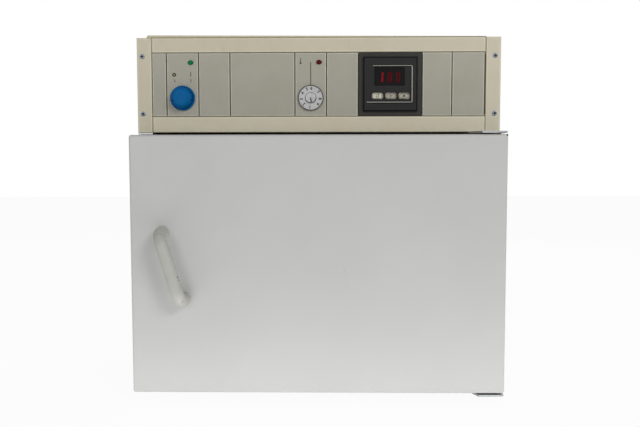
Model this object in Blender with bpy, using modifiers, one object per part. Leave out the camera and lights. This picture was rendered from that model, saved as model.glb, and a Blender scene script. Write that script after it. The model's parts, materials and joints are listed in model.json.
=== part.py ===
"""Bench laboratory oven: a heated steel chamber behind a side-hinged door, with a control unit on top.

The model stands on its feet at z = 0. Its front faces -Y, +X is the viewer's right, and the origin is
under the middle of the whole oven. Every length is in metres and is named here once.
"""
import math

import bmesh
import bpy
from mathutils import Vector

# Clearances and drawing fineness
FIT = 0.0003
OVERRUN = 0.004
WELD = 0.0006
FINE_SIDES = 40
ROUND_SIDES = 24
SMALL_SIDES = 16
BEND_STEPS = 6
ROUND_SHARE = 0.5

# Door
DOOR_WIDTH = 0.655
DOOR_HEIGHT = 0.4542
DOOR_DEPTH = 0.058
DOOR_SHEET = 0.0012
DOOR_EDGE_RADIUS = 0.004
DOOR_SETBACK = 0.0662
DOOR_EDGE_GAP = 0.002
DOOR_PANEL_SHEET = 0.001
DOOR_PANEL_RECESS = 0.001
PLUG_GAP = 0.006
PLUG_REACH = 0.008
PLUG_SLOPE = 0.008
GASKET_WIDTH = 0.014
GASKET_OFFSET = 0.008
GASKET_LIP = 0.003
MAGNET_LENGTH = 0.060
MAGNET_WIDTH = 0.012
MAGNET_INSET = 0.022

# Handle
HANDLE_RADIUS = 0.0109
HANDLE_FOOT_RADIUS = 0.0112
HANDLE_STANDOFF = 0.038
HANDLE_BEND = 0.023
HANDLE_INSET = 0.0569
HANDLE_RISE = 0.2846
HANDLE_LEAN = 0.0367
HANDLE_DROP = 0.1169
STUD_RADIUS = 0.003
STUD_LENGTH = 0.012

# Hinges
HINGE_INSET = 0.018
HINGE_DEPTH = 0.020
HINGE_PLATE = 0.0035
HINGE_PLATE_WIDTH = 0.0580
HINGE_PLATE_INSET = 0.0005
HINGE_PLATE_FRONT = 0.001
HINGE_STEP_WIDTH = 0.0137
HINGE_STEP_DEPTH = 0.030
HINGE_CORNER = 0.004
HINGE_TAIL = 0.060
HINGE_TAIL_INSET = 0.0075
PIN_RADIUS = 0.004
PIN_REACH = 0.022
PIN_HEAD_RADIUS = 0.006
PIN_HEAD = 0.001
BUSH_WALL = 0.003
BUSH_FLANGE = 0.002
BUSH_LENGTH = 0.026

# Cabinet
DOOR_OVERHANG = 0.0005
CABINET_WIDTH = DOOR_WIDTH - 2 * DOOR_OVERHANG
CABINET_DEPTH = 0.450
CABINET_EDGE_RADIUS = 0.003
SHELL_SHEET = 0.0012
REAR_SHEET = 0.0012
FOOT_HEIGHT = 0.018
FOOT_RADIUS = 0.020
FOOT_TAPER = 0.003
FOOT_COLLAR = 0.005
FOOT_INSET = 0.050
FOOT_SETBACK = 0.100
LOUVRE_COUNT = 7
LOUVRE_LENGTH = 0.120
LOUVRE_WIDTH = 0.004
LOUVRE_PITCH = 0.012

# Chamber
SIDE_WALL = 0.0975
LEVEL_WALL = 0.0721
REAR_INSULATION = 0.060
REAR_SPACE = 0.039
LINER_SHEET = 0.001
LINER_CORNER = 0.018
LINER_FLANGE = 0.034
CHAMBER_WIDTH = DOOR_WIDTH - 2 * SIDE_WALL
CHAMBER_HEIGHT = DOOR_HEIGHT - 2 * LEVEL_WALL
CHAMBER_DEPTH = CABINET_DEPTH - LINER_SHEET - REAR_INSULATION - REAR_SPACE
RACK_SHEET = 0.0015
RACK_MARGIN = 0.022
RACK_SETBACK = 0.025
RUNNER_REACH = 0.012
RUNNER_COUNT = 4
LOWEST_RUNNER = 0.062
TOP_CLEARANCE = 0.032
RUNNER_PITCH = (CHAMBER_HEIGHT - LOWEST_RUNNER - TOP_CLEARANCE) / RUNNER_COUNT
SHELF_SIDE_GAP = 0.002
SHELF_FRAME_RADIUS = 0.0025
SHELF_WIRE_RADIUS = 0.0015
SHELF_BEND = 0.012
SHELF_WIRES = 11
SHELF_RUNNERS = (1, 3)
FLOOR_PLATE_SHEET = 0.0012
FLOOR_PLATE_HEIGHT = 0.036
FLOOR_SLOTS = 7
FLOOR_SLOT_LENGTH = 0.180
FLOOR_SLOT_WIDTH = 0.008

# Heater and sensors
HEATER_RADIUS = 0.00425
HEATER_RUNS = 6
HEATER_SIDE_GAP = 0.080
HEATER_PITCH = (CHAMBER_WIDTH - 2 * HEATER_SIDE_GAP) / (HEATER_RUNS - 1)
HEATER_HEIGHT = 0.017
HEATER_MARGIN = 0.030
HEATER_TAIL = 0.014
STAND_SHEET = 0.002
PROBE_RADIUS = 0.0025
PROBE_COLLAR_RADIUS = 0.006
PROBE_COLLAR = 0.003
PROBE_REACH = 0.060
PROBE_TAIL = 0.012
PROBE_OFFSET = 0.070
SENSOR_DROP = 0.040
BULB_RADIUS = 0.0032
CAPILLARY_RADIUS = 0.0011
CAPILLARY_BEND = 0.010
CAPILLARY_STANDOFF = 0.012
CAPILLARY_HOLE = 0.003

# Vent and mains inlet
VENT_RADIUS = 0.025
VENT_WALL = 0.0018
VENT_OUT = 0.042
VENT_OFFSET = 0.120
VENT_DROP = 0.060
VENT_FLANGE = 0.009
FLAP_SETBACK = 0.017
FLAP_GAP = 0.0009
FLAP_SHEET = 0.0015
FLAP_SHAFT_RADIUS = 0.002
LEVER_STANDOFF = 0.005
LEVER_LENGTH = 0.024
LEVER_WIDTH = 0.006
INLET_WIDTH = 0.0275
INLET_HEIGHT = 0.0200
INLET_DEPTH = 0.024
INLET_WALL = 0.0016
INLET_RECESS = 0.017
INLET_FLANGE = 0.010
INLET_FLANGE_SHEET = 0.003
INLET_OFFSET = 0.220
INLET_RISE = 0.070
INLET_PIN_WIDTH = 0.002
INLET_PIN_HEIGHT = 0.004
INLET_PIN_PITCH = 0.007
INLET_PIN_STEP = 0.002
INLET_PIN_REACH = 0.014

# Control unit
CONTROL_HEIGHT = 0.1692
POST_WIDTH = 0.0267
LOWER_BEAM_HEIGHT = 0.0283
UPPER_BEAM_HEIGHT = 0.0264
FRAME_DEPTH = 0.014
FRAME_EDGE_RADIUS = 0.0016
SEAM_WIDTH = 0.0011
SEAM_DEPTH = 0.0018
PANEL_LIP = 0.004
PANEL_RECESS = 0.0015
PANEL_SHEET = 0.003
PANEL_SEAM = 0.0012
PANEL_EDGE = 0.0007
PANEL_END_GAP = 0.0022
HOOD_INSET = 0.0006
HOOD_SHOULDER = 0.002
HOOD_LEFT_START = 0.0157
HOOD_LEFT_END = 0.0198
HOOD_RISE_LEFT = 0.0044
HOOD_RISE_RIGHT = 0.0010
HOOD_RETURN = 0.020
SCREW_HEAD_RADIUS = 0.0045
SCREW_HEAD_HEIGHT = 0.0014
SCREW_CROWN = 0.0006
SCREW_SHANK_RADIUS = 0.0018
SCREW_LENGTH = 0.0165
SCREW_INSET = 0.0102
SCREW_MARGIN = 0.0334
SCREW_SLOT_WIDTH = 0.0010
SCREW_SLOT_LENGTH = 0.0046
SCREW_SLOT_DEPTH = 0.0012
SWITCH_PANEL_WIDTH = 0.0581
LIMITER_PANEL_WIDTH = 0.0570
CONTROLLER_PANEL_WIDTH = 0.1148
PANEL_NAMES = (
    "panel_filler_left",
    "panel_mains_switch",
    "panel_blank_single",
    "panel_blank_double",
    "panel_limiter",
    "panel_blank_middle",
    "panel_controller",
    "panel_blank_narrow",
    "panel_blank_right",
)
FITTED_WIDTHS = {
    "panel_mains_switch": SWITCH_PANEL_WIDTH,
    "panel_limiter": LIMITER_PANEL_WIDTH,
    "panel_controller": CONTROLLER_PANEL_WIDTH,
}
BLANK_SHARES = {
    "panel_filler_left": 0.0710,
    "panel_blank_single": 0.1533,
    "panel_blank_double": 0.3156,
    "panel_blank_middle": 0.1538,
    "panel_blank_narrow": 0.1437,
    "panel_blank_right": 0.1626,
}

# Knob, dial and lamps
KNOB_DROP = 0.0240
KNOB_GAP = 0.0008
KNOB_FLANGE_RADIUS = 0.0224
KNOB_FLANGE = 0.004
KNOB_GROOVE = 0.0015
KNOB_GROOVE_RADIUS = 0.0196
KNOB_BODY_RADIUS = 0.0186
KNOB_FACE_RADIUS = 0.0158
KNOB_BEVEL = 0.003
KNOB_HEIGHT = 0.0195
SHAFT_RADIUS = 0.003
SHAFT_LENGTH = 0.018
SWITCH_BODY_SIZE = 0.042
SWITCH_BODY_DEPTH = 0.048
DIAL_RADIUS = 0.0229
DIAL_RIM = 0.0008
DIAL_SHEET = 0.0030
DIAL_DISH = 0.0007
DIAL_HUB_RADIUS = 0.0092
DIAL_HUB_HEIGHT = 0.0040
DIAL_SLOT_WIDTH = 0.0020
DIAL_SLOT_DEPTH = 0.0022
LIMITER_BODY_RADIUS = 0.020
LIMITER_BODY_DEPTH = 0.034
LAMP_RISE = 0.0395
LAMP_OFFSET = 0.0150
LAMP_RADIUS = 0.0049
LAMP_PROUD = 0.0022
LAMP_STEM_RADIUS = 0.0036
LAMP_STEM = 0.014
LENS_SHARES = ((0.55, 0.85), (0.9, 0.45))

# Controller
BEZEL_SIZE = 0.096
BEZEL_PROUD = 0.005
BEZEL_EDGE = 0.0018
CASE_SIZE = 0.0900
CASE_DEPTH = 0.100
WINDOW_WIDTH = 0.0534
WINDOW_HEIGHT = 0.0314
WINDOW_OFFSET = 0.0015
WINDOW_RISE = 0.0132
WINDOW_SHEET = 0.0015
WINDOW_RECESS = 0.0004
BUTTON_WIDTH = 0.0203
BUTTON_HEIGHT = 0.0115
BUTTON_CORNER = 0.0045
BUTTON_PITCH = 0.0238
BUTTON_SHIFT = 0.0006
BUTTON_DROP = 0.0213
BUTTON_DEPTH = 0.0046
BUTTON_PROUD = 0.0018
BUTTON_TRAVEL = 0.001
BUTTON_GAP = 0.0004
BUTTON_CROWN = 0.0008

# Levels, from the table up
Z_CABINET = FOOT_HEIGHT + FIT
Z_DOOR = Z_CABINET + DOOR_EDGE_GAP
Z_DOOR_TOP = Z_DOOR + DOOR_HEIGHT
Z_DOOR_MIDDLE = (Z_DOOR + Z_DOOR_TOP) / 2
Z_CABINET_TOP = Z_DOOR_TOP + DOOR_EDGE_GAP
Z_CHAMBER = Z_DOOR_MIDDLE - CHAMBER_HEIGHT / 2
Z_CHAMBER_TOP = Z_DOOR_MIDDLE + CHAMBER_HEIGHT / 2
Z_CONTROL = Z_CABINET_TOP + HINGE_PLATE + 2 * FIT
Z_CONTROL_TOP = Z_CONTROL + CONTROL_HEIGHT
Z_OPENING = Z_CONTROL + LOWER_BEAM_HEIGHT
Z_OPENING_TOP = Z_CONTROL_TOP - UPPER_BEAM_HEIGHT
Z_PANEL = (Z_OPENING + Z_OPENING_TOP) / 2

# Planes, from the handle back
HANDLE_REACH = FIT + HANDLE_STANDOFF + HANDLE_RADIUS
TOTAL_DEPTH = HANDLE_REACH + DOOR_SETBACK + CABINET_DEPTH + FIT + REAR_SHEET + VENT_OUT
Y_DOOR = HANDLE_REACH - TOTAL_DEPTH / 2
Y_DOOR_BACK = Y_DOOR + DOOR_DEPTH
Y_DOOR_PANEL = Y_DOOR_BACK - DOOR_PANEL_RECESS
Y_CABINET = Y_DOOR + DOOR_SETBACK
Y_CABINET_BACK = Y_CABINET + CABINET_DEPTH
Y_REAR_COVER = Y_CABINET_BACK + FIT
Y_REAR_FACE = Y_REAR_COVER + REAR_SHEET
Y_CHAMBER_BACK = Y_CABINET + CHAMBER_DEPTH
Y_INSULATION_BACK = Y_CHAMBER_BACK + LINER_SHEET + REAR_INSULATION
Y_HOOD = Y_CABINET + FRAME_DEPTH + FIT
Y_PANEL = Y_CABINET + PANEL_RECESS
Y_PANEL_BACK = Y_PANEL + PANEL_SHEET
Y_BEZEL = Y_PANEL - FIT - BEZEL_PROUD

# Places across the width
X_DOOR = DOOR_WIDTH / 2
X_CABINET = CABINET_WIDTH / 2
X_CHAMBER = CHAMBER_WIDTH / 2
X_OPENING = X_CABINET - POST_WIDTH
X_HINGE = X_DOOR - HINGE_INSET
Y_HINGE = Y_DOOR + HINGE_DEPTH

FINISHES = {
    "door_paint": ("#c9c9c8", 0.45, 0.0),
    "frame_paint": ("#bdb6a2", 0.50, 0.0),
    "shell_paint": ("#c4c4c2", 0.50, 0.0),
    "panel_paint": ("#99968a", 0.45, 0.0),
    "dark_panel": ("#3b3a36", 0.45, 0.0),
    "stainless": ("#b9babb", 0.30, 1.0),
    "zinc_steel": ("#a9adb3", 0.40, 1.0),
    "grey_plastic": ("#acaca5", 0.50, 0.0),
    "black_plastic": ("#2c2c2c", 0.50, 0.0),
    "blue_plastic": ("#035a8e", 0.30, 0.0),
    "cream_plastic": ("#c9c7bb", 0.45, 0.0),
    "dial_metal": ("#b9bab9", 0.40, 0.8),
    "green_lens": ("#00753a", 0.20, 0.0),
    "red_lens": ("#4a0a10", 0.20, 0.0),
    "window_plastic": ("#1d1414", 0.15, 0.0),
    "rubber": ("#26262a", 0.80, 0.0),
    "silicone": ("#8d5a4a", 0.70, 0.0),
    "mineral_wool": ("#c8b77c", 0.95, 0.0),
    "heater_steel": ("#6b6660", 0.45, 1.0),
    "bronze": ("#a8834e", 0.40, 1.0),
}


def linear(hex_colour):
    """Return the linear RGBA of an sRGB hex colour."""
    channels = [int(hex_colour[place:place + 2], 16) / 255 for place in (1, 3, 5)]
    curved = [c / 12.92 if c <= 0.04045 else ((c + 0.055) / 1.055) ** 2.4 for c in channels]
    return (*curved, 1.0)


def clear_scene():
    """Remove every object, so the script gives the same scene each run."""
    for existing in list(bpy.data.objects):
        bpy.data.objects.remove(existing, do_unlink=True)


def collection(name):
    """Return the collection of that name, linked to the scene."""
    found = bpy.data.collections.get(name) or bpy.data.collections.new(name)
    if name not in bpy.context.scene.collection.children:
        bpy.context.scene.collection.children.link(found)
    return found


def finish_material(name):
    """Return the material of a finish, made the first time it is asked for."""
    known = bpy.data.materials.get(name)
    if known:
        return known
    colour, roughness, metallic = FINISHES[name]
    material = bpy.data.materials.new(name)
    material.use_nodes = True
    shader = material.node_tree.nodes["Principled BSDF"]
    shader.inputs["Base Color"].default_value = linear(colour)
    shader.inputs["Roughness"].default_value = roughness
    shader.inputs["Metallic"].default_value = metallic
    material.diffuse_color = linear(colour)
    return material


def place_mesh(name, mesh, place, finish, direction=None):
    """Put a mesh in the oven's collection, with its local +Z along a direction if one is given."""
    piece = bpy.data.objects.new(name, mesh)
    piece.location = place
    if direction:
        piece.rotation_euler = Vector(direction).to_track_quat("Z", "Y").to_euler()
    if finish:
        mesh.materials.append(finish_material(finish))
    collection("laboratory_oven").objects.link(piece)
    return piece


def mesh_from(name, bm):
    """Turn a bmesh into a mesh and free it."""
    bmesh.ops.recalc_face_normals(bm, faces=bm.faces)
    mesh = bpy.data.meshes.new(name)
    bm.to_mesh(mesh)
    bm.free()
    return mesh


def along(axis):
    """Return a test for edges that run along one axis: 0, 1 or 2."""
    def test(edge):
        run = (edge.verts[1].co - edge.verts[0].co).normalized()
        return abs(run[axis]) > 0.9
    return test


def at_front(edge):
    """Test for an edge on the side that faces the viewer."""
    return all(vertex.co.y < 0 for vertex in edge.verts)


def all_edges(edge):
    """Test that every edge passes."""
    return True


def block(name, low, high, finish=None, radius=0, segments=2, which=all_edges):
    """Make a box between two corners, with the chosen edges rounded."""
    low, high = Vector(low), Vector(high)
    bm = bmesh.new()
    bmesh.ops.create_cube(bm, size=1)
    bmesh.ops.scale(bm, vec=high - low, verts=bm.verts)
    if radius:
        edges = [edge for edge in bm.edges if which(edge)]
        bmesh.ops.bevel(bm, geom=edges, offset=radius, segments=segments, profile=ROUND_SHARE,
                        affect="EDGES")
    return place_mesh(name, mesh_from(name, bm), (low + high) / 2, finish)


def cylinder(name, start, end, radius, finish=None, sides=ROUND_SIDES):
    """Make a closed cylinder between two points."""
    start, end = Vector(start), Vector(end)
    bm = bmesh.new()
    bmesh.ops.create_cone(bm, cap_ends=True, segments=sides, radius1=radius, radius2=radius,
                          depth=(end - start).length)
    return place_mesh(name, mesh_from(name, bm), (start + end) / 2, finish, end - start)


def turned(name, outline, place, direction, finish, sides=ROUND_SIDES, ring=False):
    """Turn an outline of (radius, height) points about its height, which runs along a direction."""
    mesh = bpy.data.meshes.new(name)
    points = [(radius, 0, height) for radius, height in outline]
    edges = [(at, at + 1) for at in range(len(points) - 1)]
    if ring:
        edges.append((len(points) - 1, 0))
    mesh.from_pydata(points, edges, [])
    piece = place_mesh(name, mesh, place, finish, direction)
    screw = piece.modifiers.new("turn", "SCREW")
    screw.axis = "Z"
    screw.angle = 2 * math.pi
    screw.steps = sides
    screw.render_steps = sides
    screw.use_merge_vertices = True
    screw.merge_threshold = 0.00001
    return piece


def settled(piece):
    """Replace a piece by the mesh that its curve or modifiers give, in the same place."""
    bpy.context.view_layer.update()
    depsgraph = bpy.context.evaluated_depsgraph_get()
    mesh = bpy.data.meshes.new_from_object(piece.evaluated_get(depsgraph))
    bm = bmesh.new()
    bm.from_mesh(mesh)
    bmesh.ops.remove_doubles(bm, verts=bm.verts, dist=0.00001)
    bmesh.ops.recalc_face_normals(bm, faces=bm.faces)
    bm.to_mesh(mesh)
    bm.free()
    name = piece.name
    matrix = piece.matrix_world.copy()
    bpy.data.objects.remove(piece)
    solid = bpy.data.objects.new(name, mesh)
    solid.matrix_world = matrix
    collection("laboratory_oven").objects.link(solid)
    return solid


def wire(name, points, radius, finish=None, fineness=2, closed=False, swell=()):
    """Make a round wire or tube through points, with filled ends; swell scales the radius at points."""
    curve = bpy.data.curves.new(name, "CURVE")
    curve.dimensions = "3D"
    curve.bevel_depth = radius
    curve.bevel_resolution = fineness
    curve.use_fill_caps = True
    spline = curve.splines.new("POLY")
    spline.points.add(len(points) - 1)
    for at, point in enumerate(points):
        spline.points[at].co = (*point, 1)
        spline.points[at].radius = swell[at] if swell else 1
    spline.use_cyclic_u = closed
    if finish:
        curve.materials.append(finish_material(finish))
    piece = bpy.data.objects.new(name, curve)
    collection("laboratory_oven").objects.link(piece)
    return settled(piece)


def slab(name, outline, low, high, finish=None, upright=False):
    """Make a flat plate from an outline, between two heights or, if upright, between two depths."""
    curve = bpy.data.curves.new(name, "CURVE")
    curve.dimensions = "2D"
    curve.fill_mode = "BOTH"
    curve.extrude = (high - low) / 2
    spline = curve.splines.new("POLY")
    spline.points.add(len(outline) - 1)
    for at, (x, y) in enumerate(outline):
        spline.points[at].co = (x, y, 0, 1)
    spline.use_cyclic_u = True
    if finish:
        curve.materials.append(finish_material(finish))
    piece = bpy.data.objects.new(name, curve)
    middle = (low + high) / 2
    piece.location = (0, middle, 0) if upright else (0, 0, middle)
    piece.rotation_euler.x = math.pi / 2 if upright else 0
    collection("laboratory_oven").objects.link(piece)
    return settled(piece)


def arc(centre, radius, start, end, steps=BEND_STEPS):
    """Return points on an arc in a plane, with both ends; angles are in degrees."""
    turns = [math.radians(start + (end - start) * step / steps) for step in range(steps + 1)]
    return [(centre[0] + radius * math.cos(turn), centre[1] + radius * math.sin(turn)) for turn in turns]


def set_aside(helper):
    """Move a cutter or a joined shape to its own collection and hide it from the render."""
    helper.display_type = "WIRE"
    helper.hide_render = True
    collection("laboratory_oven").objects.unlink(helper)
    collection("cutters").objects.link(helper)


def combine(piece, operation, helpers):
    """Add one exact Boolean for each helper shape."""
    for helper in helpers:
        modifier = piece.modifiers.new(helper.name, "BOOLEAN")
        modifier.operation = operation
        modifier.solver = "EXACT"
        modifier.object = helper
        set_aside(helper)
    return piece


def cut(piece, *helpers):
    """Cut the helper shapes away from a piece."""
    return combine(piece, "DIFFERENCE", helpers)


def weld(piece, *helpers):
    """Join the helper shapes to a piece."""
    return combine(piece, "UNION", helpers)


def smooth(piece, degrees=30):
    """Shade a round piece smooth, with its corners kept sharp."""
    piece.data.shade_smooth()
    piece.data.set_sharp_from_angle(angle=math.radians(degrees))


def pivot(name, place):
    """Make an empty on a joint's axis."""
    empty = bpy.data.objects.new(name, None)
    empty.location = place
    collection("laboratory_oven").objects.link(empty)
    return empty


def hang(empty, *pieces):
    """Parent pieces to an empty without moving them."""
    for piece in pieces:
        piece.parent = empty
        piece.location = piece.location - empty.location


def panel_span(name):
    """Return a front panel's left and right edge, without the seams; blank panels share what room is left."""
    spare = 2 * X_OPENING - sum(FITTED_WIDTHS.values())
    widths = [FITTED_WIDTHS.get(each) or spare * BLANK_SHARES[each] for each in PANEL_NAMES]
    at = PANEL_NAMES.index(name)
    left = sum(widths[:at]) - X_OPENING + PANEL_SEAM / 2
    right = sum(widths[:at + 1]) - X_OPENING - PANEL_SEAM / 2
    if name == PANEL_NAMES[-1]:
        right = X_OPENING - PANEL_END_GAP
    return left, right


def panel_middle(name):
    """Return the place of a front panel's middle across the width."""
    left, right = panel_span(name)
    return (left + right) / 2


X_SWITCH = panel_middle("panel_mains_switch")
X_LIMITER = panel_middle("panel_limiter")
X_CONTROLLER = panel_middle("panel_controller")
Z_KNOB = Z_PANEL - KNOB_DROP
Z_SENSOR = Z_CHAMBER_TOP - SENSOR_DROP
Z_VENT = Z_CHAMBER_TOP - VENT_DROP
Z_HEATER = Z_CHAMBER + HEATER_HEIGHT
HEATER_XS = [HEATER_PITCH * (run - (HEATER_RUNS - 1) / 2) for run in range(HEATER_RUNS)]
Y_CAPILLARY = Y_INSULATION_BACK + CAPILLARY_STANDOFF


def rear_holes(gap):
    """Return cutters for all that passes through the chamber's rear wall, each larger by a gap."""
    start = Y_CHAMBER_BACK - OVERRUN
    end = Y_INSULATION_BACK + OVERRUN
    places = [(x, Z_HEATER, HEATER_RADIUS) for x in (HEATER_XS[0], HEATER_XS[-1])]
    places.append((X_LIMITER - PROBE_OFFSET, Z_SENSOR, PROBE_RADIUS))
    places.append((X_LIMITER, Z_SENSOR, BULB_RADIUS))
    places.append((VENT_OFFSET, Z_VENT, VENT_RADIUS))
    return [
        cylinder(f"rear_hole_{at}", (x, start, z), (x, end, z), radius + gap)
        for at, (x, z, radius) in enumerate(places)
    ]


def make_feet():
    """Make the four rubber feet."""
    outline = [
        (0, FOOT_HEIGHT),
        (FOOT_RADIUS, FOOT_HEIGHT),
        (FOOT_RADIUS, FOOT_HEIGHT - FOOT_COLLAR),
        (FOOT_RADIUS - FOOT_TAPER, 0),
        (0, 0),
    ]
    rows = {"front": Y_CABINET + FOOT_SETBACK, "rear": Y_CABINET_BACK - FOOT_INSET}
    sides = {"left": FOOT_INSET - X_CABINET, "right": X_CABINET - FOOT_INSET}
    for row, y in rows.items():
        for side, x in sides.items():
            smooth(turned(f"foot_{row}_{side}", outline, (x, y, 0), (0, 0, 1), "rubber"))


def make_cabinet_shell():
    """Make the painted outer casing: four walls and a front flange round the liner."""
    shell = block("cabinet_shell", (-X_CABINET, Y_CABINET, Z_CABINET), (X_CABINET, Y_CABINET_BACK, Z_CABINET_TOP),
                  "shell_paint", CABINET_EDGE_RADIUS, 2, along(1))
    hollow = block(
        "shell_hollow",
        (SHELL_SHEET - X_CABINET, Y_CABINET + SHELL_SHEET, Z_CABINET + SHELL_SHEET),
        (X_CABINET - SHELL_SHEET, Y_CABINET_BACK + OVERRUN, Z_CABINET_TOP - SHELL_SHEET),
        None, CABINET_EDGE_RADIUS - SHELL_SHEET, 2, along(1))
    x = X_CHAMBER + LINER_FLANGE + FIT
    z = CHAMBER_HEIGHT / 2 + LINER_FLANGE + FIT
    front = block("shell_front_opening", (-x, Y_CABINET - OVERRUN, Z_DOOR_MIDDLE - z),
                  (x, Y_CABINET + OVERRUN, Z_DOOR_MIDDLE + z))
    pipe_hole = cylinder("capillary_shell_hole", (X_LIMITER, Y_CAPILLARY, Z_CABINET_TOP - OVERRUN),
                         (X_LIMITER, Y_CAPILLARY, Z_CABINET_TOP + OVERRUN), CAPILLARY_HOLE, None, SMALL_SIDES)
    cut(shell, hollow, front, pipe_hole)


def make_chamber_liner():
    """Make the stainless chamber with its front flange and the holes in its rear wall."""
    x = X_CHAMBER + LINER_SHEET
    liner = block("chamber_liner", (-x, Y_CABINET, Z_CHAMBER - LINER_SHEET),
                  (x, Y_CHAMBER_BACK + LINER_SHEET, Z_CHAMBER_TOP + LINER_SHEET),
                  "stainless", LINER_CORNER + LINER_SHEET, 4, along(1))
    flange_x = X_CHAMBER + LINER_FLANGE
    flange_z = CHAMBER_HEIGHT / 2 + LINER_FLANGE
    flange = block("liner_flange", (-flange_x, Y_CABINET, Z_DOOR_MIDDLE - flange_z),
                   (flange_x, Y_CABINET + LINER_SHEET, Z_DOOR_MIDDLE + flange_z))
    hollow = block("liner_hollow", (-X_CHAMBER, Y_CABINET - OVERRUN, Z_CHAMBER),
                   (X_CHAMBER, Y_CHAMBER_BACK, Z_CHAMBER_TOP), None, LINER_CORNER, 4, along(1))
    weld(liner, flange)
    cut(liner, hollow, *rear_holes(FIT))


def make_cabinet_insulation():
    """Make the mineral wool that fills the space between the casing and the chamber."""
    wall = SHELL_SHEET + FIT
    wool = block("cabinet_insulation", (wall - X_CABINET, Y_CABINET + wall, Z_CABINET + wall),
                 (X_CABINET - wall, Y_INSULATION_BACK, Z_CABINET_TOP - wall), "mineral_wool",
                 CABINET_EDGE_RADIUS, 1, along(1))
    gap = LINER_SHEET + FIT
    pocket = block("wool_pocket", (-X_CHAMBER - gap, Y_CABINET - OVERRUN, Z_CHAMBER - gap),
                   (X_CHAMBER + gap, Y_CHAMBER_BACK + gap, Z_CHAMBER_TOP + gap), None,
                   LINER_CORNER + gap, 4, along(1))
    cut(wool, pocket, *rear_holes(2 * FIT))


def make_racks():
    """Make the two side racks, each a sheet with runners for the shelves."""
    for side, sign in (("left", -1), ("right", 1)):
        outer = sign * (X_CHAMBER - FIT)
        inner = outer - sign * RACK_SHEET
        runner = inner - sign * RUNNER_REACH
        start = Y_CABINET + RACK_SETBACK
        end = Y_CHAMBER_BACK - RACK_SETBACK
        rack = block(f"shelf_rack_{side}", (min(outer, inner), start, Z_CHAMBER + RACK_MARGIN),
                     (max(outer, inner), end, Z_CHAMBER_TOP - RACK_MARGIN), "stainless")
        runners = []
        for count in range(RUNNER_COUNT):
            top = Z_CHAMBER + LOWEST_RUNNER + count * RUNNER_PITCH
            near = inner + sign * WELD
            runners.append(block(f"runner_{side}_{count}", (min(near, runner), start, top - RACK_SHEET),
                                 (max(near, runner), end, top)))
        weld(rack, *runners)


def shelf_outline(x, y):
    """Return the rounded rectangle that a shelf's frame wire follows."""
    corners = [(x - SHELF_BEND, y - SHELF_BEND, 0), (SHELF_BEND - x, y - SHELF_BEND, 90),
               (SHELF_BEND - x, SHELF_BEND - y, 180), (x - SHELF_BEND, SHELF_BEND - y, 270)]
    points = []
    for across, back, turn in corners:
        points += arc((across, back), SHELF_BEND, turn, turn + 90, 3)
    return [(across, back, 0) for across, back in points]


def make_shelves():
    """Make the wire shelves, which lie on the runners."""
    x = X_CHAMBER - FIT - RACK_SHEET - SHELF_SIDE_GAP - SHELF_FRAME_RADIUS
    y = CHAMBER_DEPTH / 2 - RACK_SETBACK - SHELF_FRAME_RADIUS
    frame = wire("wire_shelf_lower", shelf_outline(x, y), SHELF_FRAME_RADIUS, "stainless", 1, True)
    lift = SHELF_FRAME_RADIUS + SHELF_WIRE_RADIUS - WELD
    bars = []
    for count in range(SHELF_WIRES):
        across = 2 * x * (count + 1) / (SHELF_WIRES + 1) - x
        bars.append(cylinder(f"shelf_bar_{count}", (across, -y, lift), (across, y, lift),
                             SHELF_WIRE_RADIUS, None, 6))
    middle = cylinder("shelf_cross_bar", (-x, 0, 0), (x, 0, 0), SHELF_FRAME_RADIUS, None, 6)
    weld(frame, middle, *bars)
    lower = settled(frame)
    upper = bpy.data.objects.new("wire_shelf_upper", lower.data)
    collection("laboratory_oven").objects.link(upper)
    for shelf, runner in ((lower, SHELF_RUNNERS[0]), (upper, SHELF_RUNNERS[1])):
        level = Z_CHAMBER + LOWEST_RUNNER + runner * RUNNER_PITCH + FIT + SHELF_FRAME_RADIUS
        shelf.location = (0, Y_CABINET + CHAMBER_DEPTH / 2, level)


def make_floor_plate():
    """Make the slotted plate that covers the heater and stands on the chamber's floor."""
    x = X_CHAMBER - LINER_CORNER - FLOOR_PLATE_SHEET
    start = Y_CABINET + RACK_SETBACK
    end = Y_CHAMBER_BACK - FLOOR_PLATE_SHEET
    low = Z_CHAMBER + FIT
    high = low + FLOOR_PLATE_HEIGHT
    plate = block("floor_plate", (-x, start, low), (x, end, high), "stainless")
    under = block("floor_plate_under", (FLOOR_PLATE_SHEET - x, start - OVERRUN, low - OVERRUN),
                  (x - FLOOR_PLATE_SHEET, end + OVERRUN, high - FLOOR_PLATE_SHEET))
    cut(plate, under)
    middle = (start + end) / 2
    for count in range(FLOOR_SLOTS):
        across = 2 * x * (count + 1) / (FLOOR_SLOTS + 1) - x
        cut(plate, block(f"floor_slot_{count}",
                         (across - FLOOR_SLOT_WIDTH / 2, middle - FLOOR_SLOT_LENGTH / 2, high - OVERRUN),
                         (across + FLOOR_SLOT_WIDTH / 2, middle + FLOOR_SLOT_LENGTH / 2, high + OVERRUN)))


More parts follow.
